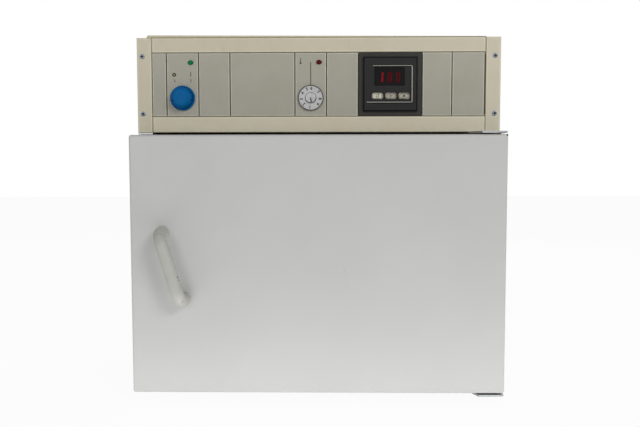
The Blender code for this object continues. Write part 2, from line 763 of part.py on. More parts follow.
def make_heater():
    """Make the tubular heater: runs from back to front, joined by half-round bends, on two stands."""
    bend = HEATER_PITCH / 2
    front = Y_CABINET + RACK_SETBACK + HEATER_MARGIN + bend
    back = Y_CHAMBER_BACK - HEATER_MARGIN - bend
    tail = Y_INSULATION_BACK + HEATER_TAIL
    path = [(HEATER_XS[0], tail)]
    for run in range(HEATER_RUNS - 1):
        centre = (HEATER_XS[run] + HEATER_XS[run + 1]) / 2
        if run % 2 == 0:
            path += arc((centre, front), bend, 180, 360, 2 * BEND_STEPS)
        else:
            path += arc((centre, back), bend, 180, 0, 2 * BEND_STEPS)
    path.append((HEATER_XS[-1], tail))
    heater = wire("heating_element", [(x, y, Z_HEATER) for x, y in path], HEATER_RADIUS, "heater_steel", 2)
    reach = HEATER_XS[-1] + 2 * HEATER_RADIUS
    for count, y in enumerate((front + bend, back - bend)):
        weld(heater, block(f"heater_stand_{count}", (-reach, y, Z_CHAMBER + FIT),
                           (reach, y + STAND_SHEET, Z_HEATER - HEATER_RADIUS / 2)))


def make_probe():
    """Make the sheathed temperature probe with its collar on the chamber's rear wall."""
    x = X_LIMITER - PROBE_OFFSET
    tip = Y_CHAMBER_BACK - PROBE_REACH
    probe = cylinder("temperature_probe", (x, tip, Z_SENSOR), (x, Y_INSULATION_BACK + PROBE_TAIL, Z_SENSOR),
                     PROBE_RADIUS, "stainless", SMALL_SIDES)
    collar = cylinder("probe_collar", (x, Y_CHAMBER_BACK - FIT - PROBE_COLLAR, Z_SENSOR),
                      (x, Y_CHAMBER_BACK - FIT, Z_SENSOR), PROBE_COLLAR_RADIUS, None, SMALL_SIDES)
    smooth(weld(probe, collar))


def make_limiter_bulb():
    """Make the limiter's sensing bulb and the capillary that runs up behind the chamber to the limiter."""
    tip = Y_CHAMBER_BACK - PROBE_REACH
    cylinder("limiter_bulb", (X_LIMITER, tip, Z_SENSOR), (X_LIMITER, Y_INSULATION_BACK, Z_SENSOR),
             BULB_RADIUS, "zinc_steel", SMALL_SIDES)
    body_back = Y_PANEL_BACK + FIT + LIMITER_BODY_DEPTH + FIT
    bend = CAPILLARY_BEND
    path = [(Y_INSULATION_BACK + FIT, Z_SENSOR)]
    path += arc((Y_CAPILLARY - bend, Z_SENSOR + bend), bend, -90, 0, 4)
    path += arc((Y_CAPILLARY - bend, Z_PANEL - bend), bend, 0, 90, 4)
    path.append((body_back, Z_PANEL))
    wire("limiter_capillary", [(X_LIMITER, y, z) for y, z in path], CAPILLARY_RADIUS, "zinc_steel", 1)


def make_vent():
    """Make the vent tube through the rear wall, and the butterfly flap that turns in its outer end."""
    end = Y_REAR_FACE + VENT_OUT
    inner = VENT_RADIUS - VENT_WALL
    tube = cylinder("vent_tube", (VENT_OFFSET, Y_CHAMBER_BACK, Z_VENT), (VENT_OFFSET, end, Z_VENT),
                    VENT_RADIUS, "stainless")
    flange = cylinder("vent_flange", (VENT_OFFSET, Y_REAR_FACE + FIT, Z_VENT),
                      (VENT_OFFSET, Y_REAR_FACE + FIT + VENT_WALL, Z_VENT), VENT_RADIUS + VENT_FLANGE)
    bore = cylinder("vent_bore", (VENT_OFFSET, Y_CHAMBER_BACK - OVERRUN, Z_VENT),
                    (VENT_OFFSET, end + OVERRUN, Z_VENT), inner)
    y = Y_REAR_FACE + FLAP_SETBACK
    outer = VENT_OFFSET + VENT_RADIUS + LEVER_STANDOFF
    bearing = cylinder("flap_bearing", (VENT_OFFSET - VENT_RADIUS - OVERRUN, y, Z_VENT), (outer, y, Z_VENT),
                       FLAP_SHAFT_RADIUS + FIT, None, SMALL_SIDES)
    weld(tube, flange)
    cut(tube, bore, bearing)
    smooth(tube)
    flap = cylinder("vent_flap", (VENT_OFFSET, y - FLAP_SHEET / 2, Z_VENT),
                    (VENT_OFFSET, y + FLAP_SHEET / 2, Z_VENT), inner - FLAP_GAP, "stainless")
    shaft = cylinder("flap_shaft", (VENT_OFFSET - VENT_RADIUS, y, Z_VENT), (outer, y, Z_VENT),
                     FLAP_SHAFT_RADIUS, None, SMALL_SIDES)
    lever = block("flap_lever", (outer - FLAP_SHAFT_RADIUS, y - LEVER_WIDTH / 2, Z_VENT - LEVER_WIDTH / 2),
                  (outer, y + LEVER_WIDTH / 2, Z_VENT + LEVER_LENGTH), None, FLAP_SHEET / 2, 1)
    weld(flap, shaft, lever)
    hang(pivot("vent_flap_axis", (VENT_OFFSET, y, Z_VENT)), flap)


def make_mains_inlet():
    """Make the appliance inlet in the rear cover: a flanged socket with three blades."""
    x, z = -INLET_OFFSET, Z_CABINET + INLET_RISE
    half_x, half_z = INLET_WIDTH / 2, INLET_HEIGHT / 2
    face = Y_REAR_FACE + FIT
    inlet = block("mains_inlet", (x - half_x, Y_REAR_FACE - INLET_DEPTH, z - half_z),
                  (x + half_x, face + INLET_FLANGE_SHEET, z + half_z), "black_plastic")
    flange = block("inlet_flange", (x - half_x - INLET_FLANGE, face, z - half_z - INLET_FLANGE / 2),
                   (x + half_x + INLET_FLANGE, face + INLET_FLANGE_SHEET, z + half_z + INLET_FLANGE / 2))
    mouth = face + INLET_FLANGE_SHEET
    floor = mouth - INLET_RECESS
    recess = block("inlet_recess", (x - half_x + INLET_WALL, floor, z - half_z + INLET_WALL),
                   (x + half_x - INLET_WALL, mouth + OVERRUN, z + half_z - INLET_WALL))
    weld(inlet, flange)
    cut(inlet, recess)
    for count, (across, up) in enumerate(((-1, -1), (0, 1), (1, -1))):
        middle_x = x + across * INLET_PIN_PITCH
        middle_z = z + up * INLET_PIN_STEP
        weld(inlet, block(f"inlet_blade_{count}",
                          (middle_x - INLET_PIN_WIDTH / 2, floor - WELD, middle_z - INLET_PIN_HEIGHT / 2),
                          (middle_x + INLET_PIN_WIDTH / 2, floor + INLET_PIN_REACH,
                           middle_z + INLET_PIN_HEIGHT / 2)))


def make_rear_cover():
    """Make the rear cover of the cabinet and the control unit, with its holes and louvres."""
    cover = slab("rear_cover", hood_outline(Z_CABINET + HOOD_INSET), Y_REAR_COVER, Y_REAR_FACE, "shell_paint",
                 True)
    start, end = Y_REAR_COVER - OVERRUN, Y_REAR_FACE + OVERRUN
    vent = cylinder("cover_vent_hole", (VENT_OFFSET, start, Z_VENT), (VENT_OFFSET, end, Z_VENT),
                    VENT_RADIUS + FIT)
    z = Z_CABINET + INLET_RISE
    inlet = block("cover_inlet_hole", (-INLET_OFFSET - INLET_WIDTH / 2 - FIT, start, z - INLET_HEIGHT / 2 - FIT),
                  (-INLET_OFFSET + INLET_WIDTH / 2 + FIT, end, z + INLET_HEIGHT / 2 + FIT))
    cut(cover, vent, inlet)
    for count in range(LOUVRE_COUNT):
        level = Z_PANEL + LOUVRE_PITCH * (count - (LOUVRE_COUNT - 1) / 2)
        cut(cover, block(f"louvre_{count}", (-LOUVRE_LENGTH / 2, start, level - LOUVRE_WIDTH / 2),
                         (LOUVRE_LENGTH / 2, end, level + LOUVRE_WIDTH / 2)))


def bush_cutters(label, gap):
    """Return cutters for the two hinge bushes, larger by a gap."""
    radius = PIN_RADIUS + FIT + BUSH_WALL + gap
    return [
        cylinder(f"{label}_bush_{at}", (X_HINGE, Y_HINGE, start), (X_HINGE, Y_HINGE, end), radius)
        for at, (start, end) in enumerate((
            (Z_DOOR - OVERRUN, Z_DOOR + BUSH_LENGTH + gap),
            (Z_DOOR_TOP - BUSH_LENGTH - gap, Z_DOOR_TOP + OVERRUN),
        ))
    ]


def handle_feet():
    """Return the places of the handle's upper and lower foot on the door."""
    upper = Vector((HANDLE_INSET - X_DOOR, Y_DOOR - FIT, Z_DOOR + HANDLE_RISE))
    lower = upper + Vector((HANDLE_LEAN, 0, -HANDLE_DROP))
    return upper, lower


def stud_cutters(label, gap):
    """Return cutters for the handle's two studs, larger by a gap."""
    return [
        cylinder(f"{label}_stud_{at}", foot - Vector((0, OVERRUN, 0)),
                 foot + Vector((0, STUD_LENGTH + OVERRUN, 0)), STUD_RADIUS + gap, None, SMALL_SIDES)
        for at, foot in enumerate(handle_feet())
    ]


def make_door_pan():
    """Make the painted outer pan of the door, open at its back."""
    pan = block("door_pan", (-X_DOOR, Y_DOOR, Z_DOOR), (X_DOOR, Y_DOOR_BACK, Z_DOOR_TOP), "door_paint",
                DOOR_EDGE_RADIUS, 3, lambda edge: at_front(edge) or along(1)(edge))
    hollow = block("pan_hollow", (DOOR_SHEET - X_DOOR, Y_DOOR + DOOR_SHEET, Z_DOOR + DOOR_SHEET),
                   (X_DOOR - DOOR_SHEET, Y_DOOR_BACK + OVERRUN, Z_DOOR_TOP - DOOR_SHEET), None,
                   DOOR_EDGE_RADIUS - DOOR_SHEET, 3, lambda edge: at_front(edge) or along(1)(edge))
    cut(pan, hollow, *bush_cutters("pan", FIT), *stud_cutters("pan", FIT))
    return pan


def make_door_panel():
    """Make the stainless inner panel, a sheet with a sloped plug pressed out towards the chamber."""
    x = X_DOOR - DOOR_SHEET - FIT
    z = DOOR_HEIGHT / 2 - DOOR_SHEET - FIT
    base = (X_CHAMBER - PLUG_GAP, CHAMBER_HEIGHT / 2 - PLUG_GAP)
    raised = Y_CABINET + PLUG_REACH - Y_DOOR_PANEL
    bm = bmesh.new()
    bmesh.ops.create_cube(bm, size=1)
    bmesh.ops.scale(bm, vec=(2 * x, DOOR_PANEL_SHEET, 2 * z), verts=bm.verts)
    bmesh.ops.translate(bm, vec=(0, -DOOR_PANEL_SHEET / 2, 0), verts=bm.verts)
    bmesh.ops.bevel(bm, geom=[edge for edge in bm.edges if along(1)(edge)],
                    offset=DOOR_EDGE_RADIUS - DOOR_SHEET, segments=1, profile=ROUND_SHARE, affect="EDGES")
    panel = place_mesh("door_inner_panel", mesh_from("door_inner_panel", bm),
                       (0, Y_DOOR_PANEL, Z_DOOR_MIDDLE), "stainless")
    plug = sloped_block("door_plug", base, -WELD, raised)
    inner = (base[0] - DOOR_PANEL_SHEET, base[1] - DOOR_PANEL_SHEET)
    dish = sloped_block("door_plug_dish", inner, -DOOR_PANEL_SHEET - OVERRUN, raised - DOOR_PANEL_SHEET)
    weld(panel, plug)
    cut(panel, dish)
    return panel


def sloped_block(name, base, start, end):
    """Make a block behind the door's inner panel whose sides lean in towards the chamber."""
    bm = bmesh.new()
    bmesh.ops.create_cube(bm, size=1)
    for vertex in bm.verts:
        deep = vertex.co.y > 0
        lean = PLUG_SLOPE if deep else 0
        vertex.co.x = math.copysign(base[0] - lean, vertex.co.x)
        vertex.co.z = math.copysign(base[1] - lean, vertex.co.z)
        vertex.co.y = end if deep else start
    return place_mesh(name, mesh_from(name, bm), (0, Y_DOOR_PANEL, Z_DOOR_MIDDLE), None)


def make_door_insulation():
    """Make the mineral wool board that fills the door, cut round the bushes and the handle's studs."""
    gap = DOOR_SHEET + FIT
    wool = block("door_insulation", (gap - X_DOOR, Y_DOOR + gap, Z_DOOR + gap),
                 (X_DOOR - gap, Y_DOOR_PANEL - DOOR_PANEL_SHEET - FIT, Z_DOOR_TOP - gap), "mineral_wool",
                 DOOR_EDGE_RADIUS, 1)
    cut(wool, *bush_cutters("wool", FIT), *stud_cutters("wool", 2 * FIT))
    return wool


def make_gasket():
    """Make the silicone gasket that runs round the plug and meets the liner's flange."""
    x = X_CHAMBER + GASKET_OFFSET + GASKET_WIDTH
    z = CHAMBER_HEIGHT / 2 + GASKET_OFFSET + GASKET_WIDTH
    start, end = Y_DOOR_PANEL + FIT, Y_CABINET - FIT
    gasket = block("door_gasket", (-x, start, Z_DOOR_MIDDLE - z), (x, end, Z_DOOR_MIDDLE + z), "silicone",
                   GASKET_WIDTH, 3, along(1))
    inner_x, inner_z = x - GASKET_WIDTH, z - GASKET_WIDTH
    cut(gasket, block("gasket_hollow", (-inner_x, start - OVERRUN, Z_DOOR_MIDDLE - inner_z),
                      (inner_x, end + OVERRUN, Z_DOOR_MIDDLE + inner_z)))
    groove_x, groove_z = x - GASKET_WIDTH / 2, z - GASKET_WIDTH / 2
    lip = GASKET_LIP / 2
    groove = block("gasket_groove", (-groove_x - lip, end - GASKET_LIP, Z_DOOR_MIDDLE - groove_z - lip),
                   (groove_x + lip, end + OVERRUN, Z_DOOR_MIDDLE + groove_z + lip))
    core = block("gasket_groove_core", (lip - groove_x, end - 2 * OVERRUN, Z_DOOR_MIDDLE - groove_z + lip),
                 (groove_x - lip, end + 2 * OVERRUN, Z_DOOR_MIDDLE + groove_z - lip))
    cut(groove, core)
    cut(gasket, groove)
    return gasket


def make_handle():
    """Make the slanted bow handle, with a stud in each foot that passes through the door's pan."""
    upper, lower = handle_feet()
    run = lower - upper
    length = run.length
    slope = run.normalized()
    straight = HANDLE_STANDOFF - HANDLE_BEND
    flat = [(0, 0), (0, straight / 2)]
    flat += arc((HANDLE_BEND, straight), HANDLE_BEND, 180, 90, BEND_STEPS)
    flat += arc((length - HANDLE_BEND, straight), HANDLE_BEND, 90, 0, BEND_STEPS)
    flat += [(length, straight / 2), (length, 0)]
    points = [upper + slope * along_run - Vector((0, out, 0)) for along_run, out in flat]
    foot = HANDLE_FOOT_RADIUS / HANDLE_RADIUS
    swell = [foot, foot] + [1] * (len(points) - 4) + [foot, foot]
    handle = wire("door_handle", points, HANDLE_RADIUS, "grey_plastic", 6, False, swell)
    for at, place in enumerate((upper, lower)):
        weld(handle, cylinder(f"handle_stud_{at}", place - Vector((0, OVERRUN, 0)),
                              place + Vector((0, STUD_LENGTH, 0)), STUD_RADIUS, None, SMALL_SIDES))
    smooth(handle, 50)
    return handle


def make_magnet():
    """Make the magnet bar on the door's inner panel, which holds the door to the steel cabinet front."""
    x = MAGNET_INSET - X_DOOR
    return block("door_magnet", (x - MAGNET_WIDTH / 2, Y_DOOR_PANEL + FIT, Z_DOOR_MIDDLE - MAGNET_LENGTH / 2),
                 (x + MAGNET_WIDTH / 2, Y_CABINET - FIT, Z_DOOR_MIDDLE + MAGNET_LENGTH / 2),
                 "black_plastic", WELD, 1)


def hinge_plate_outline():
    """Return the outline of a hinge plate, seen from above."""
    right = X_DOOR - HINGE_PLATE_INSET
    left = right - HINGE_PLATE_WIDTH
    front = Y_DOOR + HINGE_PLATE_FRONT
    waist = Y_HOOD - 2 * FIT
    back = Y_CABINET + HINGE_TAIL
    tail = right - HINGE_TAIL_INSET
    outline = [(left, back), (left, front + HINGE_STEP_DEPTH), (left + HINGE_STEP_WIDTH, front)]
    outline += arc((right - HINGE_CORNER, front + HINGE_CORNER), HINGE_CORNER, -90, 0)
    outline += [(right, waist), (tail, waist), (tail, back)]
    return outline


def make_post_spacer():
    """Make the plate under the left post, as thick as the hinge plate under the right one."""
    left = HINGE_PLATE_INSET - X_CABINET
    tail = left + HINGE_TAIL_INSET
    waist = Y_HOOD - 2 * FIT
    back = Y_CABINET + HINGE_TAIL
    outline = [(left, Y_CABINET), (-X_OPENING, Y_CABINET), (-X_OPENING, back), (tail, back), (tail, waist),
               (left, waist)]
    low = Z_CABINET_TOP + FIT
    slab("post_spacer", outline, low, low + HINGE_PLATE, "zinc_steel")


def make_hinges():
    """Make the fixed hinge plates with their riveted pins, and return the bushes that turn with the door."""
    bushes = []
    wall = PIN_RADIUS + FIT + BUSH_WALL
    for where, plate_low, door_edge, inward in (
        ("upper", Z_CABINET_TOP + FIT, Z_DOOR_TOP, -1),
        ("lower", Z_CABINET - FIT - HINGE_PLATE, Z_DOOR, 1),
    ):
        plate_high = plate_low + HINGE_PLATE
        plate = slab(f"hinge_plate_{where}", hinge_plate_outline(), plate_low, plate_high, "zinc_steel")
        outside = plate_high if inward < 0 else plate_low
        pin = cylinder(f"hinge_pin_{where}", (X_HINGE, Y_HINGE, outside + inward * WELD),
                       (X_HINGE, Y_HINGE, door_edge + inward * PIN_REACH), PIN_RADIUS)
        head = cylinder(f"hinge_pin_head_{where}", (X_HINGE, Y_HINGE, outside + inward * WELD),
                        (X_HINGE, Y_HINGE, outside - inward * PIN_HEAD), PIN_HEAD_RADIUS)
        weld(plate, pin, head)
        flange_outside = -inward * (DOOR_EDGE_GAP - FIT)
        outline = [
            (wall + BUSH_FLANGE, DOOR_EDGE_GAP - FIT),
            (wall + BUSH_FLANGE, FIT),
            (wall, FIT),
            (wall, -BUSH_LENGTH),
            (PIN_RADIUS + FIT, -BUSH_LENGTH),
            (PIN_RADIUS + FIT, DOOR_EDGE_GAP - FIT),
        ]
        up = math.copysign(1, flange_outside)
        bushes.append(turned(f"hinge_bush_{where}", outline, (X_HINGE, Y_HINGE, door_edge), (0, 0, up),
                             "bronze", ROUND_SIDES, True))
    return bushes


def make_door():
    """Make every piece of the door and hang it on the hinge axis."""
    pieces = [make_door_pan(), make_door_panel(), make_door_insulation(), make_gasket(), make_handle(),
              make_magnet(), *make_hinges()]
    hang(pivot("door_axis", (X_HINGE, Y_HINGE, Z_DOOR_MIDDLE)), *pieces)


def screw_outline(gap):
    """Return a post screw's turned outline, larger by a gap; its height runs out of the post."""
    head = SCREW_HEAD_RADIUS + gap
    shank = SCREW_SHANK_RADIUS + gap
    return [
        (0, SCREW_HEAD_HEIGHT + SCREW_CROWN),
        (head / 2, SCREW_HEAD_HEIGHT + SCREW_CROWN / 2),
        (head, SCREW_HEAD_HEIGHT - SCREW_CROWN),
        (head, -gap),
        (shank, -(head - shank) - gap),
        (shank, -SCREW_LENGTH - gap),
        (0, -SCREW_LENGTH - gap),
    ]


def make_posts():
    """Make the two posts of the control unit's front frame, each with its two screws."""
    front = (0, -1, 0)
    for side, sign in (("left", -1), ("right", 1)):
        outer, inner = sign * X_CABINET, sign * X_OPENING
        post = block(f"post_{side}", (min(outer, inner), Y_CABINET, Z_CONTROL),
                     (max(outer, inner), Y_CABINET + FRAME_DEPTH, Z_CONTROL_TOP), "frame_paint",
                     FRAME_EDGE_RADIUS, 2, at_front)
        x = sign * (X_CABINET - SCREW_INSET)
        for where, z in (("upper", Z_CONTROL_TOP - SCREW_MARGIN), ("lower", Z_CONTROL + SCREW_MARGIN)):
            seat = (x, Y_CABINET - FIT, z)
            hole = turned(f"{where}_{side}_hole", screw_outline(FIT), seat, front, None, SMALL_SIDES)
            cut(post, hole)
            screw = turned(f"post_screw_{where}_{side}", screw_outline(0), seat, front, "zinc_steel",
                           SMALL_SIDES)
            top = Y_CABINET - SCREW_HEAD_HEIGHT - SCREW_CROWN
            wide, narrow = SCREW_SLOT_LENGTH / 2, SCREW_SLOT_WIDTH / 2
            slots = [
                block(f"{where}_{side}_slot_{at}", (x - across, top - OVERRUN, z - up),
                      (x + across, top + SCREW_SLOT_DEPTH, z + up))
                for at, (across, up) in enumerate(((wide, narrow), (narrow, wide)))
            ]
            cut(screw, *slots)


def make_beam(name, low, high, lip_low, lip_high):
    """Make a beam of the front frame, with a groove at each end and a lip behind the panels."""
    x = X_OPENING - FIT
    beam = block(name, (SEAM_WIDTH - X_OPENING, Y_CABINET, low),
                 (X_OPENING - SEAM_WIDTH, Y_CABINET + FRAME_DEPTH, high), "frame_paint",
                 FRAME_EDGE_RADIUS, 2, at_front)
    tongue = block(f"{name}_tongue", (-x, Y_CABINET + SEAM_DEPTH, low), (x, Y_CABINET + FRAME_DEPTH, high))
    lip = block(f"{name}_lip", (-x, Y_PANEL_BACK + FIT, lip_low), (x, Y_CABINET + FRAME_DEPTH, lip_high))
    weld(beam, tongue, lip)


def make_beams():
    """Make the lower and the upper beam of the front frame."""
    make_beam("beam_lower", Z_CONTROL, Z_OPENING, Z_OPENING - WELD, Z_OPENING + PANEL_LIP)
    make_beam("beam_upper", Z_OPENING_TOP, Z_CONTROL_TOP, Z_OPENING_TOP - PANEL_LIP, Z_OPENING_TOP + WELD)


def hood_outline(foot):
    """Return the hood's section as (x, z) points, from its left foot over the top to its right foot."""
    left, right = HOOD_INSET - X_CABINET, X_CABINET - HOOD_INSET
    shoulder = Z_CONTROL_TOP - HOOD_SHOULDER
    return [
        (left, foot),
        (left, shoulder),
        (left + HOOD_LEFT_START, shoulder),
        (left + HOOD_LEFT_END, Z_CONTROL_TOP + HOOD_RISE_LEFT),
        (X_OPENING, Z_CONTROL_TOP + HOOD_RISE_RIGHT),
        (right - HOOD_SHOULDER, Z_CONTROL_TOP + HOOD_RISE_RIGHT / 2),
        (right, shoulder),
        (right, foot),
    ]


def make_hood():
    """Make the control unit's sheet hood, which sits high on its left side, with its front returns."""
    section = hood_outline(Z_CABINET_TOP + FIT)
    mesh = bpy.data.meshes.new("control_hood")
    bm = bmesh.new()
    corners = [bm.verts.new((x, 0, z)) for x, z in section]
    edges = [bm.edges.new(pair) for pair in zip(corners, corners[1:])]
    pulled = bmesh.ops.extrude_edge_only(bm, edges=edges)
    moved = [item for item in pulled["geom"] if isinstance(item, bmesh.types.BMVert)]
    bmesh.ops.translate(bm, vec=(0, Y_CABINET_BACK - Y_HOOD, 0), verts=moved)
    bmesh.ops.recalc_face_normals(bm, faces=bm.faces)
    bm.to_mesh(mesh)
    bm.free()
    hood = place_mesh("control_hood", mesh, (0, Y_HOOD, 0), "frame_paint")
    sheet = hood.modifiers.new("sheet", "SOLIDIFY")
    sheet.thickness = SHELL_SHEET
    sheet.offset = -1
    sheet.use_even_offset = True
    inside = X_CABINET - HOOD_INSET - SHELL_SHEET + WELD
    low_top = Z_CONTROL_TOP - HOOD_SHOULDER - SHELL_SHEET + WELD
    for side, sign in (("left", -1), ("right", 1)):
        edges_x = (sign * inside, sign * (inside - HOOD_RETURN))
        weld(hood, block(f"hood_return_{side}", (min(edges_x), Y_HOOD, Z_CONTROL),
                         (max(edges_x), Y_HOOD + SHELL_SHEET, low_top)))
    x = X_CABINET - SCREW_INSET
    for side, sign in (("left", -1), ("right", 1)):
        for where, z in (("upper", Z_CONTROL_TOP - SCREW_MARGIN), ("lower", Z_CONTROL + SCREW_MARGIN)):
            cut(hood, cylinder(f"hood_screw_hole_{where}_{side}", (sign * x, Y_HOOD - OVERRUN, z),
                               (sign * x, Y_HOOD + OVERRUN, z), SCREW_SHANK_RADIUS + FIT, None, SMALL_SIDES))
    weld(hood, hood_lip(section))


def hood_lip(section):
    """Make the folded lip that runs forward from the hood's top over the upper beam."""
    (start, _), (rise, left_top), (end, right_top) = section[2:5]
    floor = Z_CONTROL_TOP + FIT
    corners = [(start + HOOD_SHOULDER, floor), (rise, left_top), (end, right_top), (end, floor)]
    return slab("hood_lip", corners, Y_CABINET, Y_HOOD + SHELL_SHEET, None, True)


def make_panels():
    """Make the nine front panels, and cut the holes for what three of them carry."""
    start, end = Y_PANEL - OVERRUN, Y_PANEL_BACK + OVERRUN
    panels = {}
    for name in PANEL_NAMES:
        left, right = panel_span(name)
        colour = "dark_panel" if name == "panel_controller" else "panel_paint"
        panels[name] = block(name, (left, Y_PANEL, Z_OPENING + PANEL_SEAM / 2),
                             (right, Y_PANEL_BACK, Z_OPENING_TOP - PANEL_SEAM / 2), colour,
                             PANEL_EDGE, 1, at_front)
    for name, x in (("panel_mains_switch", X_SWITCH), ("panel_limiter", X_LIMITER)):
        shaft = cylinder(f"{name}_shaft_hole", (x, start, Z_KNOB), (x, end, Z_KNOB), SHAFT_RADIUS + FIT)
        lamp_x, lamp_z = x + LAMP_OFFSET, Z_PANEL + LAMP_RISE
        lamp = cylinder(f"{name}_lamp_hole", (lamp_x, start, lamp_z), (lamp_x, end, lamp_z),
                        LAMP_STEM_RADIUS + FIT)
        cut(panels[name], shaft, lamp)
    half = CASE_SIZE / 2 + FIT
    cut(panels["panel_controller"], block("case_hole", (X_CONTROLLER - half, start, Z_PANEL - half),
                                          (X_CONTROLLER + half, end, Z_PANEL + half)))


def make_lamp(name, x, finish):
    """Make an indicator lamp: a domed lens with a stem through the panel."""
    outline = [
        (0, LAMP_PROUD),
        *[(LAMP_RADIUS * across, LAMP_PROUD * up) for across, up in LENS_SHARES],
        (LAMP_RADIUS, 0),
        (LAMP_STEM_RADIUS, 0),
        (LAMP_STEM_RADIUS, -LAMP_STEM),
        (0, -LAMP_STEM),
    ]
    lamp = turned(name, outline, (x + LAMP_OFFSET, Y_PANEL - FIT, Z_PANEL + LAMP_RISE), (0, -1, 0), finish)
    smooth(lamp)


def make_mains_switch():
    """Make the blue rotary knob with its shaft, and the switch body behind the panel."""
    seat = Y_PANEL - KNOB_GAP
    flange, groove = KNOB_FLANGE, KNOB_FLANGE - KNOB_GROOVE
    outline = [
        (0, KNOB_HEIGHT),
        (KNOB_FACE_RADIUS, KNOB_HEIGHT),
        (KNOB_BODY_RADIUS - KNOB_GAP, KNOB_HEIGHT - KNOB_BEVEL),
        (KNOB_BODY_RADIUS, groove),
        (KNOB_GROOVE_RADIUS, groove),
        (KNOB_GROOVE_RADIUS, flange - KNOB_GAP),
        (KNOB_GROOVE_RADIUS + KNOB_GAP, flange),
        (KNOB_FLANGE_RADIUS - KNOB_GAP, flange),
        (KNOB_FLANGE_RADIUS, flange - KNOB_GAP),
        (KNOB_FLANGE_RADIUS, 0),
        (SHAFT_RADIUS, 0),
        (SHAFT_RADIUS, -SHAFT_LENGTH),
        (0, -SHAFT_LENGTH),
    ]
    knob = turned("mains_switch_knob", outline, (X_SWITCH, seat, Z_KNOB), (0, -1, 0), "blue_plastic",
                  FINE_SIDES)
    smooth(knob)
    half = SWITCH_BODY_SIZE / 2
    start = Y_PANEL_BACK + FIT
    body = block("mains_switch_body", (X_SWITCH - half, start, Z_KNOB - half),
                 (X_SWITCH + half, start + SWITCH_BODY_DEPTH, Z_KNOB + half), "black_plastic", PANEL_EDGE, 1)
    cut(body, shaft_bore("switch_bore", X_SWITCH))


def shaft_bore(name, x):
    """Return the cutter for the bore that a knob's or a dial's shaft turns in."""
    start = Y_PANEL_BACK - OVERRUN
    end = Y_PANEL - KNOB_GAP + SHAFT_LENGTH + KNOB_GAP
    return cylinder(name, (x, start, Z_KNOB), (x, end, Z_KNOB), SHAFT_RADIUS + FIT)


def make_limiter():
    """Make the limiter's dial with its slotted hub and shaft, and the limiter body behind the panel."""
    seat = Y_PANEL - KNOB_GAP
    hub_top = DIAL_SHEET + DIAL_HUB_HEIGHT
    outline = [
        (0, hub_top),
        (DIAL_HUB_RADIUS - DIAL_RIM, hub_top),
        (DIAL_HUB_RADIUS, hub_top - DIAL_RIM),
        (DIAL_HUB_RADIUS, DIAL_SHEET - DIAL_DISH),
        (DIAL_RADIUS - DIAL_RIM, DIAL_SHEET - DIAL_DISH),
        (DIAL_RADIUS - DIAL_RIM, DIAL_SHEET),
        (DIAL_RADIUS, DIAL_SHEET),
        (DIAL_RADIUS, 0),
        (SHAFT_RADIUS, 0),
        (SHAFT_RADIUS, -SHAFT_LENGTH),
        (0, -SHAFT_LENGTH),
    ]
    dial = turned("limiter_dial", outline, (X_LIMITER, seat, Z_KNOB), (0, -1, 0), "dial_metal", FINE_SIDES)
    top = seat - hub_top
    cut(dial, block("dial_slot", (X_LIMITER - DIAL_SLOT_WIDTH / 2, top - OVERRUN, Z_KNOB - 2 * DIAL_HUB_RADIUS),
                    (X_LIMITER + DIAL_SLOT_WIDTH / 2, top + DIAL_SLOT_DEPTH, Z_KNOB + 2 * DIAL_HUB_RADIUS)))
    smooth(dial)
    start = Y_PANEL_BACK + FIT
    body = cylinder("limiter_body", (X_LIMITER, start, Z_KNOB), (X_LIMITER, start + LIMITER_BODY_DEPTH, Z_KNOB),
                    LIMITER_BODY_RADIUS, "cream_plastic")
    neck = block("limiter_neck", (X_LIMITER - SHAFT_RADIUS, start, Z_KNOB),
                 (X_LIMITER + SHAFT_RADIUS, start + LIMITER_BODY_DEPTH, Z_PANEL + SHAFT_RADIUS))
    weld(body, neck)
    cut(body, shaft_bore("limiter_bore", X_LIMITER))


def make_controller():
    """Make the controller's case with its bezel, the display window and the three buttons."""
    half, deep = BEZEL_SIZE / 2, CASE_SIZE / 2
    face = Y_BEZEL
    case = block("controller_case", (X_CONTROLLER - half, face, Z_PANEL - half),
                 (X_CONTROLLER + half, face + BEZEL_PROUD, Z_PANEL + half), "black_plastic",
                 BEZEL_EDGE, 2, at_front)
    box = block("case_box", (X_CONTROLLER - deep, face + BEZEL_PROUD - WELD, Z_PANEL - deep),
                (X_CONTROLLER + deep, face + CASE_DEPTH, Z_PANEL + deep))
    x, z = X_CONTROLLER - WINDOW_OFFSET, Z_PANEL + WINDOW_RISE
    wide, high = WINDOW_WIDTH / 2, WINDOW_HEIGHT / 2
    seat = face + WINDOW_RECESS
    recess = block("window_recess", (x - wide - FIT, face - OVERRUN, z - high - FIT),
                   (x + wide + FIT, seat + WINDOW_SHEET + FIT, z + high + FIT))
    weld(case, box)
    cut(case, recess)
    block("controller_window", (x - wide, seat, z - high), (x + wide, seat + WINDOW_SHEET, z + high),
          "window_plastic")
    for at, name in enumerate(("page", "down", "up")):
        middle = X_CONTROLLER + BUTTON_SHIFT + (at - 1) * BUTTON_PITCH
        make_button(case, name, middle)


